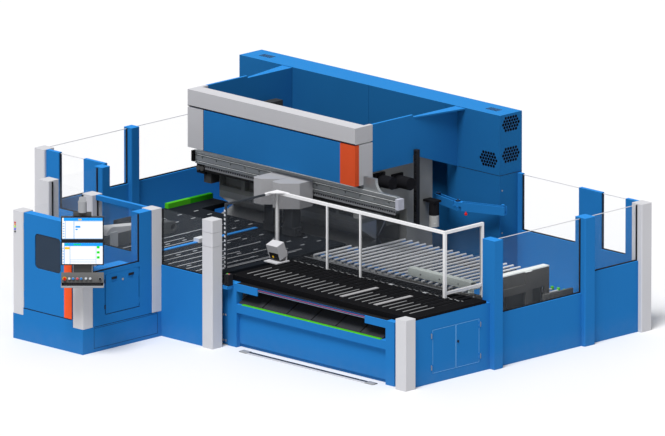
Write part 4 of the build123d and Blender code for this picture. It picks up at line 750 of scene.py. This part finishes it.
# %% Brush strips of the feed table
table_low, table_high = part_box("feed_table")
table_top = 0.97
first_column = table_low.x + 0.135
pitch = 0.13
front_row = (table_low.y + 0.18, table_low.y + 0.67)
second_row = (table_low.y + 0.7, table_low.y + 1.12)
third_row = (table_low.y + 1.2, table_low.y + 1.39)
barred_columns = (14, 19)
groove_z = (table_top - 0.034, table_top - 0.018)
brush_z = (table_top - 0.019, table_top + 0.0015)
sunk_z = (table_top - 0.019, table_top - 0.002)
dash_z = (table_top - 0.001, table_top + 0.003)
bar_z = (table_top - 0.001, table_top + 0.006)
dash = second_row[1] + 0.012
strips = Shape("feed_strips", "cell", "white_plastic")
for column in range(25):
    middle = first_column + pitch * column
    for row in (front_row, second_row, third_row):
        if column in barred_columns and row is not third_row:
            continue
        strips.block(about(middle, 0.037), inset(row, 0.004), groove_z, rubber, 0.002)
        if row is front_row:
            strips.block(about(middle, 0.015), inset(row, 0.01), brush_z, brush_plastic, 0.002)
        if row is second_row:
            strips.block(about(middle, 0.008), (row[0] + 0.01, row[1] - 0.03), sunk_z, key_grey, 0.001)
    strips.block((middle - 0.052, middle), (dash, dash + 0.022), dash_z, brush_plastic, 0.0015)
    strips.block((middle + 0.016, middle + 0.05), (dash + 0.03, dash + 0.046), dash_z, brush_plastic, 0.0015)
for column in barred_columns:
    middle = first_column + pitch * column
    strips.block(about(middle, 0.064), (dash - 0.006, dash + 0.038), bar_z, white_plastic, 0.002)
rear_bar_y = (table_high.y - 0.02, table_high.y - 0.006)
strips.block((table_low.x + 0.02, table_high.x - 0.5), rear_bar_y, bar_z, silver_paint, 0.002)
strips.done()

# %% White lines, track edges and rear bar of the working table
work_low, work_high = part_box("working_table")
track_low, track_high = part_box("gripper_track")
loader_low, loader_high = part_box("loading_arm")
guard_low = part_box("guard_frame")[0]
line_start = work_low.y + 0.02
line_z = (table_top - 0.002, table_top + 0.003)
line_count = 15
first_line = work_low.x + 0.5
line_pitch = 0.18
short_line, long_line = 1.2, 1.75
lines = Shape("working_strips", "cell", "white_plastic")
for index in range(line_count):
    middle = first_line + line_pitch * index
    on_track = abs(middle - (track_low.x + track_high.x) / 2) < 0.1
    under_loader = loader_low.x - 0.06 < middle < loader_high.x + 0.06
    if on_track or under_loader:
        continue
    length = short_line if index % 2 else long_line
    lines.block(about(middle, 0.011), (line_start, line_start + length), line_z, white_plastic, 0.0015)
track_z = (table_top - 0.001, table_top + 0.004)
for side in (track_low.x - 0.026, track_high.x + 0.008):
    lines.block((side, side + 0.018), (track_low.y, track_high.y), track_z, rubber, 0.001)
side_bar_x = (guard_low.x - 0.06, guard_low.x - 0.03)
side_bar_z = (table_top - 0.001, table_top + 0.012)
lines.block(side_bar_x, (work_low.y + 0.03, work_high.y - 1.2), side_bar_z, silver_paint, 0.003)
lines.done()

# %% [markdown]
# ## The front of the feed table
# A narrow rail under the table lip carries a pale red guide line and a bright scale on a dark blue band, which
# is painted shadow of the lip. A black strip on the ledge on top of the rail stands for the overhanging lip and
# paints the shade under it. They are thin strips laid on the faces of the frame.

# %% Scale and ledge strip of the rail
frame_low, frame_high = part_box("table_frame")
rail_front = table_low.y - 0.094
shade_blue = sheet_paint("shaded blue powder coat", srgb(28, 66, 112), 1.0)
scale_x = inset((frame_low.x, frame_high.x), 0.57)
scale_back = rail_front + 0.001
scale = Shape("rail_scale", "cell", "red_plastic")
# The dark blue band is painted shadow of the lip on the rail's face.
scale.block(scale_x, (rail_front - 0.0012, scale_back), (0.85, 0.894), shade_blue, 0.0005)
scale.block(scale_x, (rail_front - 0.002, scale_back), (0.868, 0.873), pink_plastic, 0.0006)
scale.block(scale_x, (rail_front - 0.0025, scale_back), (0.85, 0.855), silver_paint, 0.0006)
ledge_x = inset((frame_low.x, frame_high.x), 0.16)
# The black ledge strip stands for the overhanging lip and paints the shade under it.
scale.block(ledge_x, (rail_front + 0.002, table_low.y + 0.002), (0.894, 0.8985), rubber, 0.001)
scale.done()

# %% [markdown]
# ## The drawn rail and its belt
# The tool carriages run on a drawn aluminium profile. Bright guide bars sit in its two grooves, a perforated
# strip that reads their position hangs under it, and a toothed belt turns round two pulleys on a black box at
# the left end. All of it stays inside the grooves or behind the rail's face, so the carriages can pass.

# %% Guide bars, reading strip and belt box of the rail
bright_bar = ground_metal("bright guide bar", srgb(226, 229, 230), 0.5, lines_along_x, 900.0)
rail_low, rail_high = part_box("tool_rail")
rail_x = (rail_low.x, rail_high.x)
rail_face = rail_low.y
rail_top = 1.81
trims = Shape("rail_trims", "cell", "aluminium")
top_bar_z = (rail_top - 0.001, rail_top + 0.003)
trims.block(rail_x, (rail_face + 0.001, rail_face + 0.016), top_bar_z, bright_bar, 0.001)
groove_heights = (1.652, 1.748)
for groove in groove_heights:
    trims.block(rail_x, (rail_face + 0.012, rail_face + 0.0225), about(groove, 0.0296), rubber, 0.001)
    trims.block(rail_x, (rail_face + 0.001, rail_face + 0.013), about(groove, 0.012), bright_bar, 0.002)
strip_x = (rail_low.x + 0.16, rail_high.x - 0.05)
strip_face = rail_face + 0.032
strip_base, strip_top = 1.548, 1.6215
trims.block(strip_x, (strip_face, strip_face + 0.012), (strip_base, strip_top), silver_paint, 0.002)
trims.block(strip_x, (strip_face + 0.001, strip_face + 0.02), (1.514, strip_base + 0.001), rubber, 0.002)
hole_count = 84
hole_height = 1.586
hole = [(0.0, 0.011), (0.0022, 0.011), (0.0026, 0.009)]
for index in range(hole_count):
    hole_x = between(*inset(strip_x, 0.02), index / (hole_count - 1))
    trims.turned((hole_x, strip_face + 0.002, hole_height), to_front, hole, rubber, 12)
box_front = strip_face - 0.006
belt_box_x = (rail_low.x + 0.002, strip_x[0] - 0.004)
trims.block(belt_box_x, (box_front, strip_face + 0.05), (1.48, strip_top), rubber, 0.006)
pulley_height = 1.555
pulley = [
    (0.0, 0.034), (0.003, 0.034), (0.004, 0.026), (0.014, 0.026),
    (0.015, 0.034), (0.018, 0.034), (0.019, 0.012),
]
for pulley_x in (rail_low.x + 0.045, rail_low.x + 0.115):
    trims.turned((pulley_x, box_front + 0.0005, pulley_height), to_front, pulley, dark_paint)
trims.done()

# %% [markdown]
# ## Dark openings
# Vents and slots read as holes because nothing is lit behind them. A black cup with a thin rim, put in each
# six-sided hole of a vent, paints that shade, a black bar closes each slot on top of the beam as painted shade,
# and black cups line the grips of the small door. Rubber beads close the joints of the hood's front.

# %% Cups of painted shade in the vents, bars of painted shade on the slots and beads of the hood
beam_low, beam_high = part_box("rear_beam")
beam_middle = (beam_low.y + beam_high.y) / 2
vent_rows = (5, 6, 7, 6, 5)
hole_pitch = 0.05
row_pitch = 0.0433
shade_cup = [(-0.003, 0.0235), (0.0012, 0.0235), (0.0012, 0.019), (-0.003, 0.019)]
vents = (
    ((beam_high.x, beam_middle, 2.525), to_back, to_right),
    ((beam_high.x, beam_middle, 2.088), to_back, to_right),
    ((beam_high.x - 0.214, beam_low.y, 2.02), to_right, to_front),
)
hole_shade_and_beads = Shape("painted_hole_shade_and_beads", "cell", "black_plastic")
# Black cups in the vent holes: painted shade.
for middle, along, axis in vents:
    for row, count in enumerate(vent_rows):
        for index in range(count):
            shift = Vector(along) * (index - (count - 1) / 2) * hole_pitch
            rise = Vector((0, 0, (row - 2) * row_pitch))
            hole_shade_and_beads.turned(Vector(middle) + shift + rise, axis, shade_cup, rubber, 6)

# Black bars on the slots: painted shade.
slot_z = (beam_high.z - 0.004, beam_high.z + 0.0012)
for middle in inset((beam_low.x, beam_high.x), 0.33):
    for index in range(6):
        slot_x = about(middle + (index - 2.5) * 0.038, 0.022)
        hole_shade_and_beads.block(slot_x, about(beam_middle, 0.126), slot_z, rubber, 0.001)

hood_low, hood_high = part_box("hood_grey_covers")
panel_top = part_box("hood_front_panel")[1].z
cover_points = [vertex.co for vertex in nodes["hood_grey_covers"].data.vertices]
post_points = [point for point in cover_points if point.x < hood_low.x + 0.6 and point.z < panel_top - 0.1]
post_edge = max(point.x for point in post_points)
bead_y = (hood_low.y - 0.0015, hood_low.y + 0.002)
hole_shade_and_beads.block((hood_low.x, hood_high.x), bead_y, (panel_top - 0.004, panel_top + 0.008), rubber, 0.001)
hole_shade_and_beads.block(about(post_edge, 0.008), bead_y, (hood_low.z, panel_top), rubber, 0.001)
hole_shade_and_beads.done()

# %% Grips and lock of the small door
door_low, door_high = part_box("small_door")
grip_z = door_high.z - 0.07
grip_x = (door_high.x - 0.012, door_high.x + 0.001)
grips = Shape("small_door_grips", "small_leaf", "black_plastic")
for share in (0.25, 0.75):
    grip_y = about(between(door_low.y, door_high.y, share), 0.1)
    grips.block(grip_x, grip_y, about(grip_z, 0.034), black_plastic, 0.004)
lock_place = (door_high.x - 0.004, (door_low.y + door_high.y) / 2, grip_z - 0.045)
lock = [(0.0, 0.017), (0.006, 0.017), (0.0085, 0.014), (0.0085, 0.004), (0.0065, 0.0035)]
grips.turned(lock_place, to_right, lock, silver_paint)
grips.done()

# %% [markdown]
# ## Bolts
# The corner of the feed table and the right column are held by screws. A screw head is turned with a small
# chamfer and stands on a washer. Each has a place and the direction that its head looks.

# %% Screw heads on the corner and the column
screws = Shape("screw_heads", "cell", "steel")


def screw(place, axis, size):
    """A washer and a chamfered head that look along an axis."""
    washer = [(0.0, size * 1.5), (size * 0.18, size * 1.5), (size * 0.26, size * 1.38)]
    head = [(size * 0.2, size), (size * 0.8, size), (size, size * 0.8), (size, size * 0.45)]
    socket = (size * 0.6, size * 0.42)
    screws.turned(place, axis, washer, silver_paint, 20)
    screws.turned(place, axis, head + [socket], steel, 12)


leg_face = frame_low.y + 0.006
for screw_x in (frame_low.x - 0.09, frame_low.x - 0.045):
    for height in (0.06, 0.42):
        screw((screw_x, leg_face, height), to_front, 0.011)
for height in (1.0, 1.3, 1.6):
    screw((beam_high.x, beam_low.y + 0.05, height), to_right, 0.008)
screws.done()

# %% [markdown]
# ## Box caps and knobs
# The small control box by the feed table has a red and a green cap on its lid. The swing arm over the conveyor
# has a black hand wheel on each joint and a red grip under its outer link, so it can be swung aside by hand
# and locked.

# %% Caps on the control box
control_low, control_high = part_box("control_box")
lid_middle = (control_low.y + control_high.y) / 2
box_ring = [(0.0, 0.014), (0.003, 0.014), (0.004, 0.011)]
box_cap = [(0.003, 0.01), (0.01, 0.01), (0.0125, 0.008), (0.013, 0.002)]
box_caps = Shape("control_box_caps", "cell", "red_plastic")
for share, finish in ((0.3, green_plastic), (0.7, red_plastic)):
    centre = (between(control_low.x, control_high.x, share), lid_middle, control_high.z - 0.001)
    box_caps.turned(centre, upward, box_ring, silver_paint)
    box_caps.turned(centre, upward, box_cap, finish)
box_caps.done()

# %% Hand wheels and grip of the swing arm
wheel_profile = [
    (0.0, 0.018), (0.006, 0.02), (0.008, 0.034), (0.02, 0.036), (0.026, 0.033), (0.028, 0.014), (0.034, 0.01),
]
grip_profile = [
    (0.0, 0.007), (0.014, 0.007), (0.018, 0.014), (0.026, 0.02),
    (0.036, 0.022), (0.046, 0.02), (0.054, 0.012), (0.057, 0.003),
]
for body in ("arm_inner", "arm_outer"):
    node = "swing_" + body
    knob = Shape(body + "_knob", body, "black_plastic")
    pivot = Vector(joint_places[body + "_swing"][:2])
    heights = [vertex.co.z for vertex in nodes[node].data.vertices if (vertex.co.xy - pivot).length < 0.06]
    knob.turned((*pivot, max(heights) - 0.001), upward, wheel_profile, black_plastic)
    if body == "arm_outer":
        link_low, link_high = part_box(node)
        grip_place = pivot.lerp(Vector((link_high.x, link_low.y + 0.06)), 0.22)
        knob.turned((*grip_place, link_low.z + 0.001), downward, grip_profile, red_plastic)
    knob.done()

# %% [markdown]
# ## The stop bar over the belts
# A finished panel runs out on the white belts until it meets a square tube that lies across them. The tube is
# welded sheet, open at its right end, and one bracket holds it on the side of the conveyor.

# %% Stop bar
belts_low, belts_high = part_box("conveyor_belts")
pale_casting = cast_paint("pale painted tube", srgb(222, 230, 226))
tube_x = (belts_high.x - 1.11, belts_high.x + 0.095)
tube_y = (belts_low.y + 0.05, belts_low.y + 0.155)
tube_z = (belts_high.z + 0.006, belts_high.z + 0.116)
wall = 0.005
stop_bar = Shape("stop_bar", "cell", "cast")
for side in (tube_y[0], tube_y[1] - wall):
    stop_bar.block(tube_x, (side, side + wall), tube_z, pale_casting, 0.002)
inner_y = inset(tube_y, 0.002)
for base in (tube_z[0], tube_z[1] - wall):
    stop_bar.block(tube_x, inner_y, (base, base + wall), pale_casting, 0.002)
cap_x = (tube_x[0] + 0.001, tube_x[0] + 0.006)
stop_bar.block(cap_x, inner_y, inset(tube_z, 0.002), pale_casting, 0.001)
plug_x = (tube_x[1] - 0.12, tube_x[1] - 0.11)
stop_bar.block(plug_x, inset(tube_y, 0.004), inset(tube_z, 0.004), rubber)
bracket_x = (tube_x[1] - 0.07, tube_x[1] - 0.03)
stop_bar.block(bracket_x, inset(tube_y, 0.01), (0.888, tube_z[0] + 0.001), pale_casting, 0.003)
bolt = [(0.0, 0.012), (0.005, 0.012), (0.007, 0.009)]
for share in (0.2, 0.5, 0.8):
    bolt_place = (between(*tube_x, share), tube_y[0] + 0.0005, tube_z[0] + 0.05)
    stop_bar.turned(bolt_place, to_front, bolt, steel, 12)
stop_bar.done()

# %% [markdown]
# ## Closing plates
# A folded blue plate closes the corner between the two tables and carries a small shelf for the control box.
# A dark ribbed sheet, set back behind the rails and legs of the conveyor's open right side, paints the shade
# inside the conveyor.

# %% Corner plate and shelf
plate_left = frame_low.x - 0.115
plate_z = (0.012, control_low.z - 0.03)
corner = Shape("corner_plate", "cell", "blue_paint")
# The two uprights take the darker copy of the blue coat: painted shade.
corner.block((plate_left, frame_low.x + 0.004), (leg_face, leg_face + 0.006), plate_z, painted_shade_blue, 0.001)
corner.block((plate_left, plate_left + 0.006), (leg_face, leg_face + 0.1), plate_z, painted_shade_blue, 0.001)
shelf_x = (control_low.x - 0.035, control_high.x + 0.012)
shelf_y = (control_low.y - 0.012, leg_face + 0.012)
shelf_face = control_low.z - 0.0005
rim_z = (control_low.z - 0.04, shelf_face)
rim = 0.005
corner.block(shelf_x, shelf_y, (control_low.z - 0.006, shelf_face), blue_paint, 0.001)
corner.block(shelf_x, (shelf_y[0], shelf_y[0] + rim), rim_z, blue_paint, 0.001)
for side in (shelf_x[0], shelf_x[1] - rim):
    corner.block((side, side + rim), shelf_y, rim_z, blue_paint, 0.001)
corner.done()

# %% Sheet of painted shade in the conveyor
shade_sheet_face = belts_high.x + 0.075
shade_sheet_y = (belts_low.y + 0.09, belts_high.y - 0.06)
shade_sheet_z = (0.3, 0.86)
# A dark ribbed sheet behind the conveyor's open side: painted shade inside the conveyor.
shade_sheet = Shape("conveyor_shade_sheet", "cell", "dark_grey_paint")
shade_sheet.block((shade_sheet_face, shade_sheet_face + 0.004), shade_sheet_y, shade_sheet_z, dark_paint, 0.001)
for share in (0.02, 0.26, 0.5, 0.74, 0.98):
    rib_y = about(between(*shade_sheet_y, share), 0.024)
    shade_sheet.block((shade_sheet_face + 0.003, shade_sheet_face + 0.016), rib_y, inset(shade_sheet_z, 0.005), dark_paint, 0.002)
shade_sheet.done()

# %% [markdown]
# ## Low rail past the belts
# Past the end of the belts a low dark rail stands by the fence. Four short pale arms lie on its cross beam,
# and a green cap on the end of each keeps a finished panel from being scratched.

# %% Low rail with capped arms
low_rail_x, low_rail_y, low_rail_z = (3.71, 3.75), (1.7, 2.267), (0.5, 0.745)
cross_x, cross_y, cross_z = (3.25, low_rail_x[0] + 0.002), (2.08, 2.14), (0.6, 0.66)
foot_wide = 0.04
feet = (
    (low_rail_x[0], low_rail_y[0] + 0.02, 0.502),
    (low_rail_x[0], low_rail_y[1] - 0.06, 0.502),
    (3.255, 2.09, 0.602),
)
first_arm = 3.27
arm_pitch = 0.117
arm_y, arm_z = (2.01, 2.22), (0.658, 0.684)
arm_cap_y, arm_cap_z = (2.21, 2.245), (0.656, 0.712)
low_rail = Shape("side_rail", "cell", "dark_grey_paint")
low_rail.block(low_rail_x, low_rail_y, low_rail_z, dark_paint, 0.003)
low_rail.block(cross_x, cross_y, cross_z, dark_paint, 0.003)
for x, y, top in feet:
    low_rail.block((x, x + foot_wide), (y, y + foot_wide), (0.0, top), dark_paint, 0.003)
for index in range(4):
    arm_x = first_arm + arm_pitch * index
    low_rail.block(about(arm_x, 0.032), arm_y, arm_z, white_plastic, 0.003)
    low_rail.block(about(arm_x, 0.036), arm_cap_y, arm_cap_z, green_plastic, 0.005)
low_rail.done()

# %% [markdown]
# ## Rungs on the slim post
# The slim dark post at the left end of the guard is a mounting profile: clips sit on it one above the other, so
# sensors can be set at any height. Each clip is a small pale band round the post.

# %% Clips of the guard's slim post
post_side = 0.026
clip_reach = 0.0015
clip_tall = 0.03
clip_x = (guard_low.x - clip_reach, guard_low.x + post_side + clip_reach)
clip_y = (guard_low.y - clip_reach, guard_low.y + post_side + clip_reach)
clips = Shape("guard_clips", "cell", "white_plastic")
for index in range(14):
    clip_base = table_top + clip_tall + 2 * clip_tall * index
    clips.block(clip_x, clip_y, (clip_base, clip_base + clip_tall), white_plastic, 0.002)
clips.done()

# %% [markdown]
# ## Folded chute and floor trunking
# The chute is folded from several sheets, so five lapped seams run down the slope and one runs across it. A
# shallow aluminium trunking with a dark rubber tread, a pale flange and two end plates lies on the floor in
# front of the feed table and carries cables.

# %% Seams of the chute
chute_low, chute_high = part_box("chute")
sheet_thick = 0.01
chute_deep = chute_high.y - chute_low.y
slope = math.atan2(chute_high.z - chute_low.z - sheet_thick, chute_deep)
run = chute_deep / math.cos(slope)
lower_edge = (0, chute_low.y, chute_low.z + sheet_thick)
chute_frame = Matrix.Translation(lower_edge) @ Matrix.Rotation(slope, 4, "X")
seams = Shape("chute_seams", "cell", "black_plastic", chute_frame)
for share in (0.16, 0.33, 0.5, 0.67, 0.84):
    seam_x = about(between(chute_low.x, chute_high.x, share), 0.022)
    seams.block(seam_x, (0.01, run - 0.02), (-0.002, 0.0022), rubber, 0.001)
cross_seam_x = inset((chute_low.x, chute_high.x), 0.01)
cross_seam = run * 0.6
seams.block(cross_seam_x, (cross_seam, cross_seam + 0.016), (-0.002, 0.0016), rubber, 0.0008)
seams.done()

# %% Tread, flange and end plates of the trunking
strip_low, strip_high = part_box("floor_strip")
strip_middle = (strip_low.y + strip_high.y) / 2
tread_x = inset((strip_low.x, strip_high.x), 0.12)
tread_y = inset((strip_low.y, strip_high.y), 0.012)
rivet_ends = inset((strip_low.x, strip_high.x), 0.3)
rivet = [(0, 0.008), (0.0015, 0.008), (0.0025, 0.005)]
rivet_count = 8
tread = Shape("trunking_tread", "cell", "black_plastic")
tread.block(tread_x, tread_y, about(strip_high.z, 0.004), rubber, 0.001)
for index in range(rivet_count):
    rivet_x = between(*rivet_ends, index / (rivet_count - 1))
    tread.turned((rivet_x, strip_middle, strip_high.z + 0.0015), upward, rivet, silver_paint, 16)
flange_front = strip_low.y - 0.034
floor_gap = 0.0005
plate_long = 0.15
tread.block(tread_x, (flange_front, strip_low.y + 0.001), (floor_gap, 0.007), grey_paint, 0.001)
end_plate_y = (flange_front, strip_high.y + 0.014)
end_plate_z = (floor_gap, strip_high.z + 0.003)
for end in (strip_low.x, strip_high.x - plate_long):
    tread.block((end, end + plate_long), end_plate_y, end_plate_z, silver_paint, 0.002)
tread.done()

# %% [markdown]
# ## Sensor under its folded cover
# The small grey hood between the tables shields a measuring head from chips. The head is a black block with a
# yellowish lens that looks down at the sheet. A black rubber flap with a small lens closes the lower half of
# the cover's front and lets the sheet push it aside. Both stand in the tilted frame of the cover.

# %% Measuring head
cover_middle = (0.48, -0.19, 1.134)
cover_tilt = math.radians(20)
cover_frame = Matrix.Translation(cover_middle) @ Matrix.Rotation(cover_tilt, 4, "X")
flap = ((-0.088, 0.088), (-0.0768, -0.0718), (-0.104, -0.008))
housing = ((-0.07, 0.07), (-0.045, 0.05), (-0.06, 0.06))
snout = ((-0.045, 0.045), (-0.04, 0.03), (-0.085, -0.058))
small_lens = [(0.0, 0.017), (0.003, 0.017), (0.005, 0.014), (0.005, 0.004)]
large_lens = [(0.0, 0.024), (0.006, 0.024), (0.009, 0.021), (0.007, 0.016), (0.005, 0.004)]
head = Shape("measuring_head", "cell", "black_plastic", cover_frame)
head.block(*flap, rubber, 0.0015)
head.turned((-0.02, -0.0765, -0.07), to_front, small_lens, yellow_plastic)
head.block(*housing, black_plastic, 0.008, 3)
head.block(*snout, black_plastic, 0.006, 3)
head.turned((0, -0.005, -0.084), downward, large_lens, yellow_plastic)
head.done()

# %% [markdown]
# ## Bright edges of the cabinet doors
# A folded door catches the light along its edges. A narrow paler strip round each leaf paints that
# highlight as an outline, and it swings with the leaf. Each leaf leaves room for its hinges on its outer side.

# %% Door edges
# Pale strips along the leaf edges: painted highlight.
edge_highlight_paint = sheet_paint("painted blue highlight on an edge", srgb(112, 170, 222))
edge_wide = 0.005
hinge_room = 0.012
middle_room = 0.003
for leaf in ("front", "rear"):
    node = "cabinet_door_" + leaf
    low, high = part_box(node)
    leaf_face = high.x - 0.0123
    near = low.y + (hinge_room if leaf == "front" else middle_room)
    far = high.y - (middle_room if leaf == "front" else hinge_room)
    base, top = inset((low.z, high.z), 0.004)
    upright_z = inset((base, top), edge_wide)
    edge = Shape(node + "_edge", "cabinet_leaf_" + leaf, "blue_paint")
    for strip_y, strip_z in (
        ((near, far), (base, base + edge_wide)),
        ((near, far), (top - edge_wide, top)),
        ((near, near + edge_wide), upright_z),
        ((far - edge_wide, far), upright_z),
    ):
        edge.block((leaf_face - 0.001, leaf_face + 0.0012), strip_y, strip_z, edge_highlight_paint, 0.0005)
    edge.done()

# %% [markdown]
# ## Hinges of the cabinet
# Each leaf of the side cabinet hangs on two bright hinges. Their fixed halves are screwed on the cabinet beside
# the leaf: a plate and a turned barrel.

# %% Cabinet hinges
front_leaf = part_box("cabinet_door_front")[0]
rear_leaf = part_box("cabinet_door_rear")[1]
cabinet_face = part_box("side_cabinet")[1].x - 0.012
hinge_x = (cabinet_face - 0.001, cabinet_face + 0.004)
barrel = [(0.0, 0.004), (0.003, 0.0055), (0.064, 0.0055), (0.067, 0.004)]
hinges = Shape("cabinet_hinges", "cell", "steel")
for hinge_y in (front_leaf.y - 0.018, rear_leaf.y + 0.004):
    for height in (front_leaf.z + 0.05, rear_leaf.z - 0.12):
        hinges.block(hinge_x, (hinge_y, hinge_y + 0.014), (height, height + 0.07), silver_paint, 0.001)
        hinges.turned((cabinet_face + 0.006, hinge_y + 0.007, height + 0.0015), upward, barrel, steel, 16)
hinges.done()

# %% [markdown]
# ## Service side
# The back of the machine is closed by five covers that can be lifted off. Each is a folded sheet with
# quarter-turn locks and a bank of louvres that lets the warm air of the drives out. Three long covers close the
# beam above them, and a dark joint runs round the beam where it stands on the columns.

# %% Covers and locks on the back
back = beam_high.y
lock_profile = [(0.0, 0.016), (0.0025, 0.016), (0.004, 0.013), (0.004, 0.005), (0.0025, 0.0045)]
covers = Shape("rear_covers", "cell", "blue_paint")


def cover(left, right, base, top, lock_heights):
    """A raised sheet with a column of locks near each upright edge."""
    covers.block((left, right), (back - 0.001, back + 0.005), (base, top), blue_paint, 0.002)
    for lock_x in inset((left, right), 0.05):
        for height in lock_heights:
            covers.turned((lock_x, back + 0.0045, height), to_back, lock_profile, steel, 20)


def share_width(count):
    """Left and right edges of covers that share the width of the back."""
    start = beam_low.x + 0.05
    width = (beam_high.x - beam_low.x - 0.1) / count
    return [inset((start + width * index, start + width * (index + 1)), 0.01) for index in range(count)]


print("five covers of", round(share_width(5)[0][1] - share_width(5)[0][0], 3), "m")

# %% Louvres and the joint under the beam
lower_z, lower_locks = (0.14, 1.74), (0.2, 0.94, 1.68)
upper_z, upper_locks = (1.9, 2.6), (1.96, 2.54)
louvre_y = (back + 0.004, back + 0.0095)
shadow_y = (back + 0.004, back + 0.0056)
louvre_count = 9
first_louvre = 1.3
louvre_pitch = 0.035
for left, right in share_width(5):
    cover(left, right, *lower_z, lower_locks)
    middle = (left + right) / 2
    for row in range(louvre_count):
        height = first_louvre + louvre_pitch * row
        covers.block(about(middle, 0.56), louvre_y, (height, height + 0.012), blue_paint, 0.002)
        covers.block(about(middle, 0.54), shadow_y, (height - 0.008, height), rubber)
for left, right in share_width(3):
    cover(left, right, *upper_z, upper_locks)
joint_z = about(beam_low.z, 0.006)
joint_thick = 0.0024
beam_x = (beam_low.x, beam_high.x)
for side in beam_x:
    covers.block(about(side, joint_thick), (beam_low.y, back), joint_z, rubber)
covers.block(beam_x, about(back, joint_thick), joint_z, rubber)
covers.block((beam_high.x - 0.8, beam_high.x), about(beam_low.y, joint_thick), joint_z, rubber)
covers.done()

# %% [markdown]
# ## Dark gaps of the console
# Where a door meets the console there is a gap with a rubber bead in it, and under the tall door a deep shadow.
# The plinth has a panel on its right side, drawn by its four seams. The small side door hangs on two black
# hinges. These lie on the console itself, so the doors swing clear of them.

# %% Gaps, seams and hinges
plinth_low, plinth_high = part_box("console_plinth")
tall_low, tall_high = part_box("console_door")
side_face = plinth_high.x
gap_x = (side_face - 0.002, side_face + 0.0015)
gap_y = (plinth_low.y - 0.0015, plinth_low.y + 0.002)
gaps = Shape("console_gaps", "cell", "black_plastic")
gaps.block((tall_low.x, tall_high.x), gap_y, (tall_low.z - 0.013, tall_low.z - 0.003), rubber, 0.001)
under_door_y = inset((door_low.y, door_high.y), -0.004)
gaps.block(gap_x, under_door_y, (door_low.z - 0.01, door_low.z - 0.003), rubber, 0.001)
gaps.block(gap_x, (plinth_low.y + 0.21, plinth_high.y - 0.09), (0.35, 0.357), rubber, 0.001)
seam_x = (side_face - 0.002, side_face + 0.0012)
seam_y = (plinth_low.y + 0.213, plinth_high.y - 0.09)
seam_wide = 0.005
panel_z = (0.05, 0.33)
for height in panel_z:
    gaps.block(seam_x, seam_y, (height, height + seam_wide), rubber, 0.001)
upright_seam_z = (panel_z[0] + seam_wide, panel_z[1])
for seam in (seam_y[0], seam_y[1] - seam_wide):
    gaps.block(seam_x, (seam, seam + seam_wide), upright_seam_z, rubber, 0.001)
small_hinge_x = (side_face - 0.002, side_face + 0.008)
small_hinge_y = (door_low.y - 0.026, door_low.y - 0.006)
for height in (door_low.z + 0.07, door_high.z - 0.12):
    gaps.block(small_hinge_x, small_hinge_y, (height, height + 0.06), black_plastic, 0.003)
gaps.done()

# %% [markdown]
# ## Light, floor and camera
# The picture was taken with a very long lens from the right-hand corner, 14 degrees above the floor, so the
# cell has no vanishing points. A lens of 1100 mm far away gives that and still lets other views be taken. One
# wide sun and an even sky light the cell. The sky is white where it is seen, in a mirror or through a pane too,
# and dimmer as a lamp, so the shadows on the floor stay.

# %% Floor
floor_half = 150.0
floor_mesh = bpy.data.meshes.new("floor")
floor_corners = [(x * floor_half, y * floor_half, 0) for x, y in ((-1, -1), (1, -1), (1, 1), (-1, 1))]
floor_mesh.from_pydata(floor_corners, [], [(0, 1, 2, 3)])
floor = bpy.data.objects.new("floor", floor_mesh)
bpy.context.collection.objects.link(floor)
floor.location.z = cad_box[0][2] - 0.0005
pale_floor = Finish("pale studio floor", Roughness=0.75)
floor_tone = pale_floor.mix(pale_floor.noise(0.4, 2.0), srgb(239, 239, 240), srgb(242, 242, 243))
pale_floor.wear(Base_Color=floor_tone)
floor_mesh.materials.append(pale_floor.material)
print("floor of", floor_half * 2, "m")

# %% Soft studio light
sun_data = bpy.data.lights.new("studio sun", "SUN")
sun_data.energy = 3.0
sun_data.angle = math.radians(25)
sun = bpy.data.objects.new("studio sun", sun_data)
sun.rotation_euler = Vector((0.207, -0.483, 0.851)).to_track_quat("Z", "Y").to_euler()
bpy.context.collection.objects.link(sun)

world = bpy.data.worlds.new("studio")
world.use_nodes = True
bpy.context.scene.world = world
studio = Network(world.node_tree)
camera_ray = studio.node("ShaderNodeLightPath", output="Is Camera Ray")
glossy_ray = studio.node("ShaderNodeLightPath", output="Is Glossy Ray")
pane_ray = studio.node("ShaderNodeLightPath", output="Is Transmission Ray")
seen = 1 - (1 - camera_ray) * (1 - glossy_ray) * (1 - pane_ray)
lamp_strength = 0.36
seen_strength = 1.0
sky = world.node_tree.nodes["Background"]
sky.inputs["Color"].default_value = (1.0, 1.0, 1.0, 1.0)
studio.put(sky.inputs["Strength"], lamp_strength + seen * (seen_strength - lamp_strength))
print("sun and sky ready")

# %% Camera at the photograph's angle
elevation = math.radians(14.0)
level = math.cos(elevation) * math.sqrt(0.5)
towards_camera = Vector((level, -level, math.sin(elevation)))
aim = Vector((-3.472, 4.840, 0.0))
distance = 284.25
camera_data = bpy.data.cameras.new("camera")
camera_data.lens = 1100.0
camera_data.sensor_width = 36.0
camera_data.clip_end = 2000.0
camera = bpy.data.objects.new("camera", camera_data)
camera.location = aim + towards_camera * distance
camera.rotation_euler = towards_camera.to_track_quat("Z", "Y").to_euler()
bpy.context.collection.objects.link(camera)
bpy.context.scene.camera = camera
bpy.context.scene.view_settings.view_transform = "Standard"
print("camera", tuple(round(c, 2) for c in camera.location))
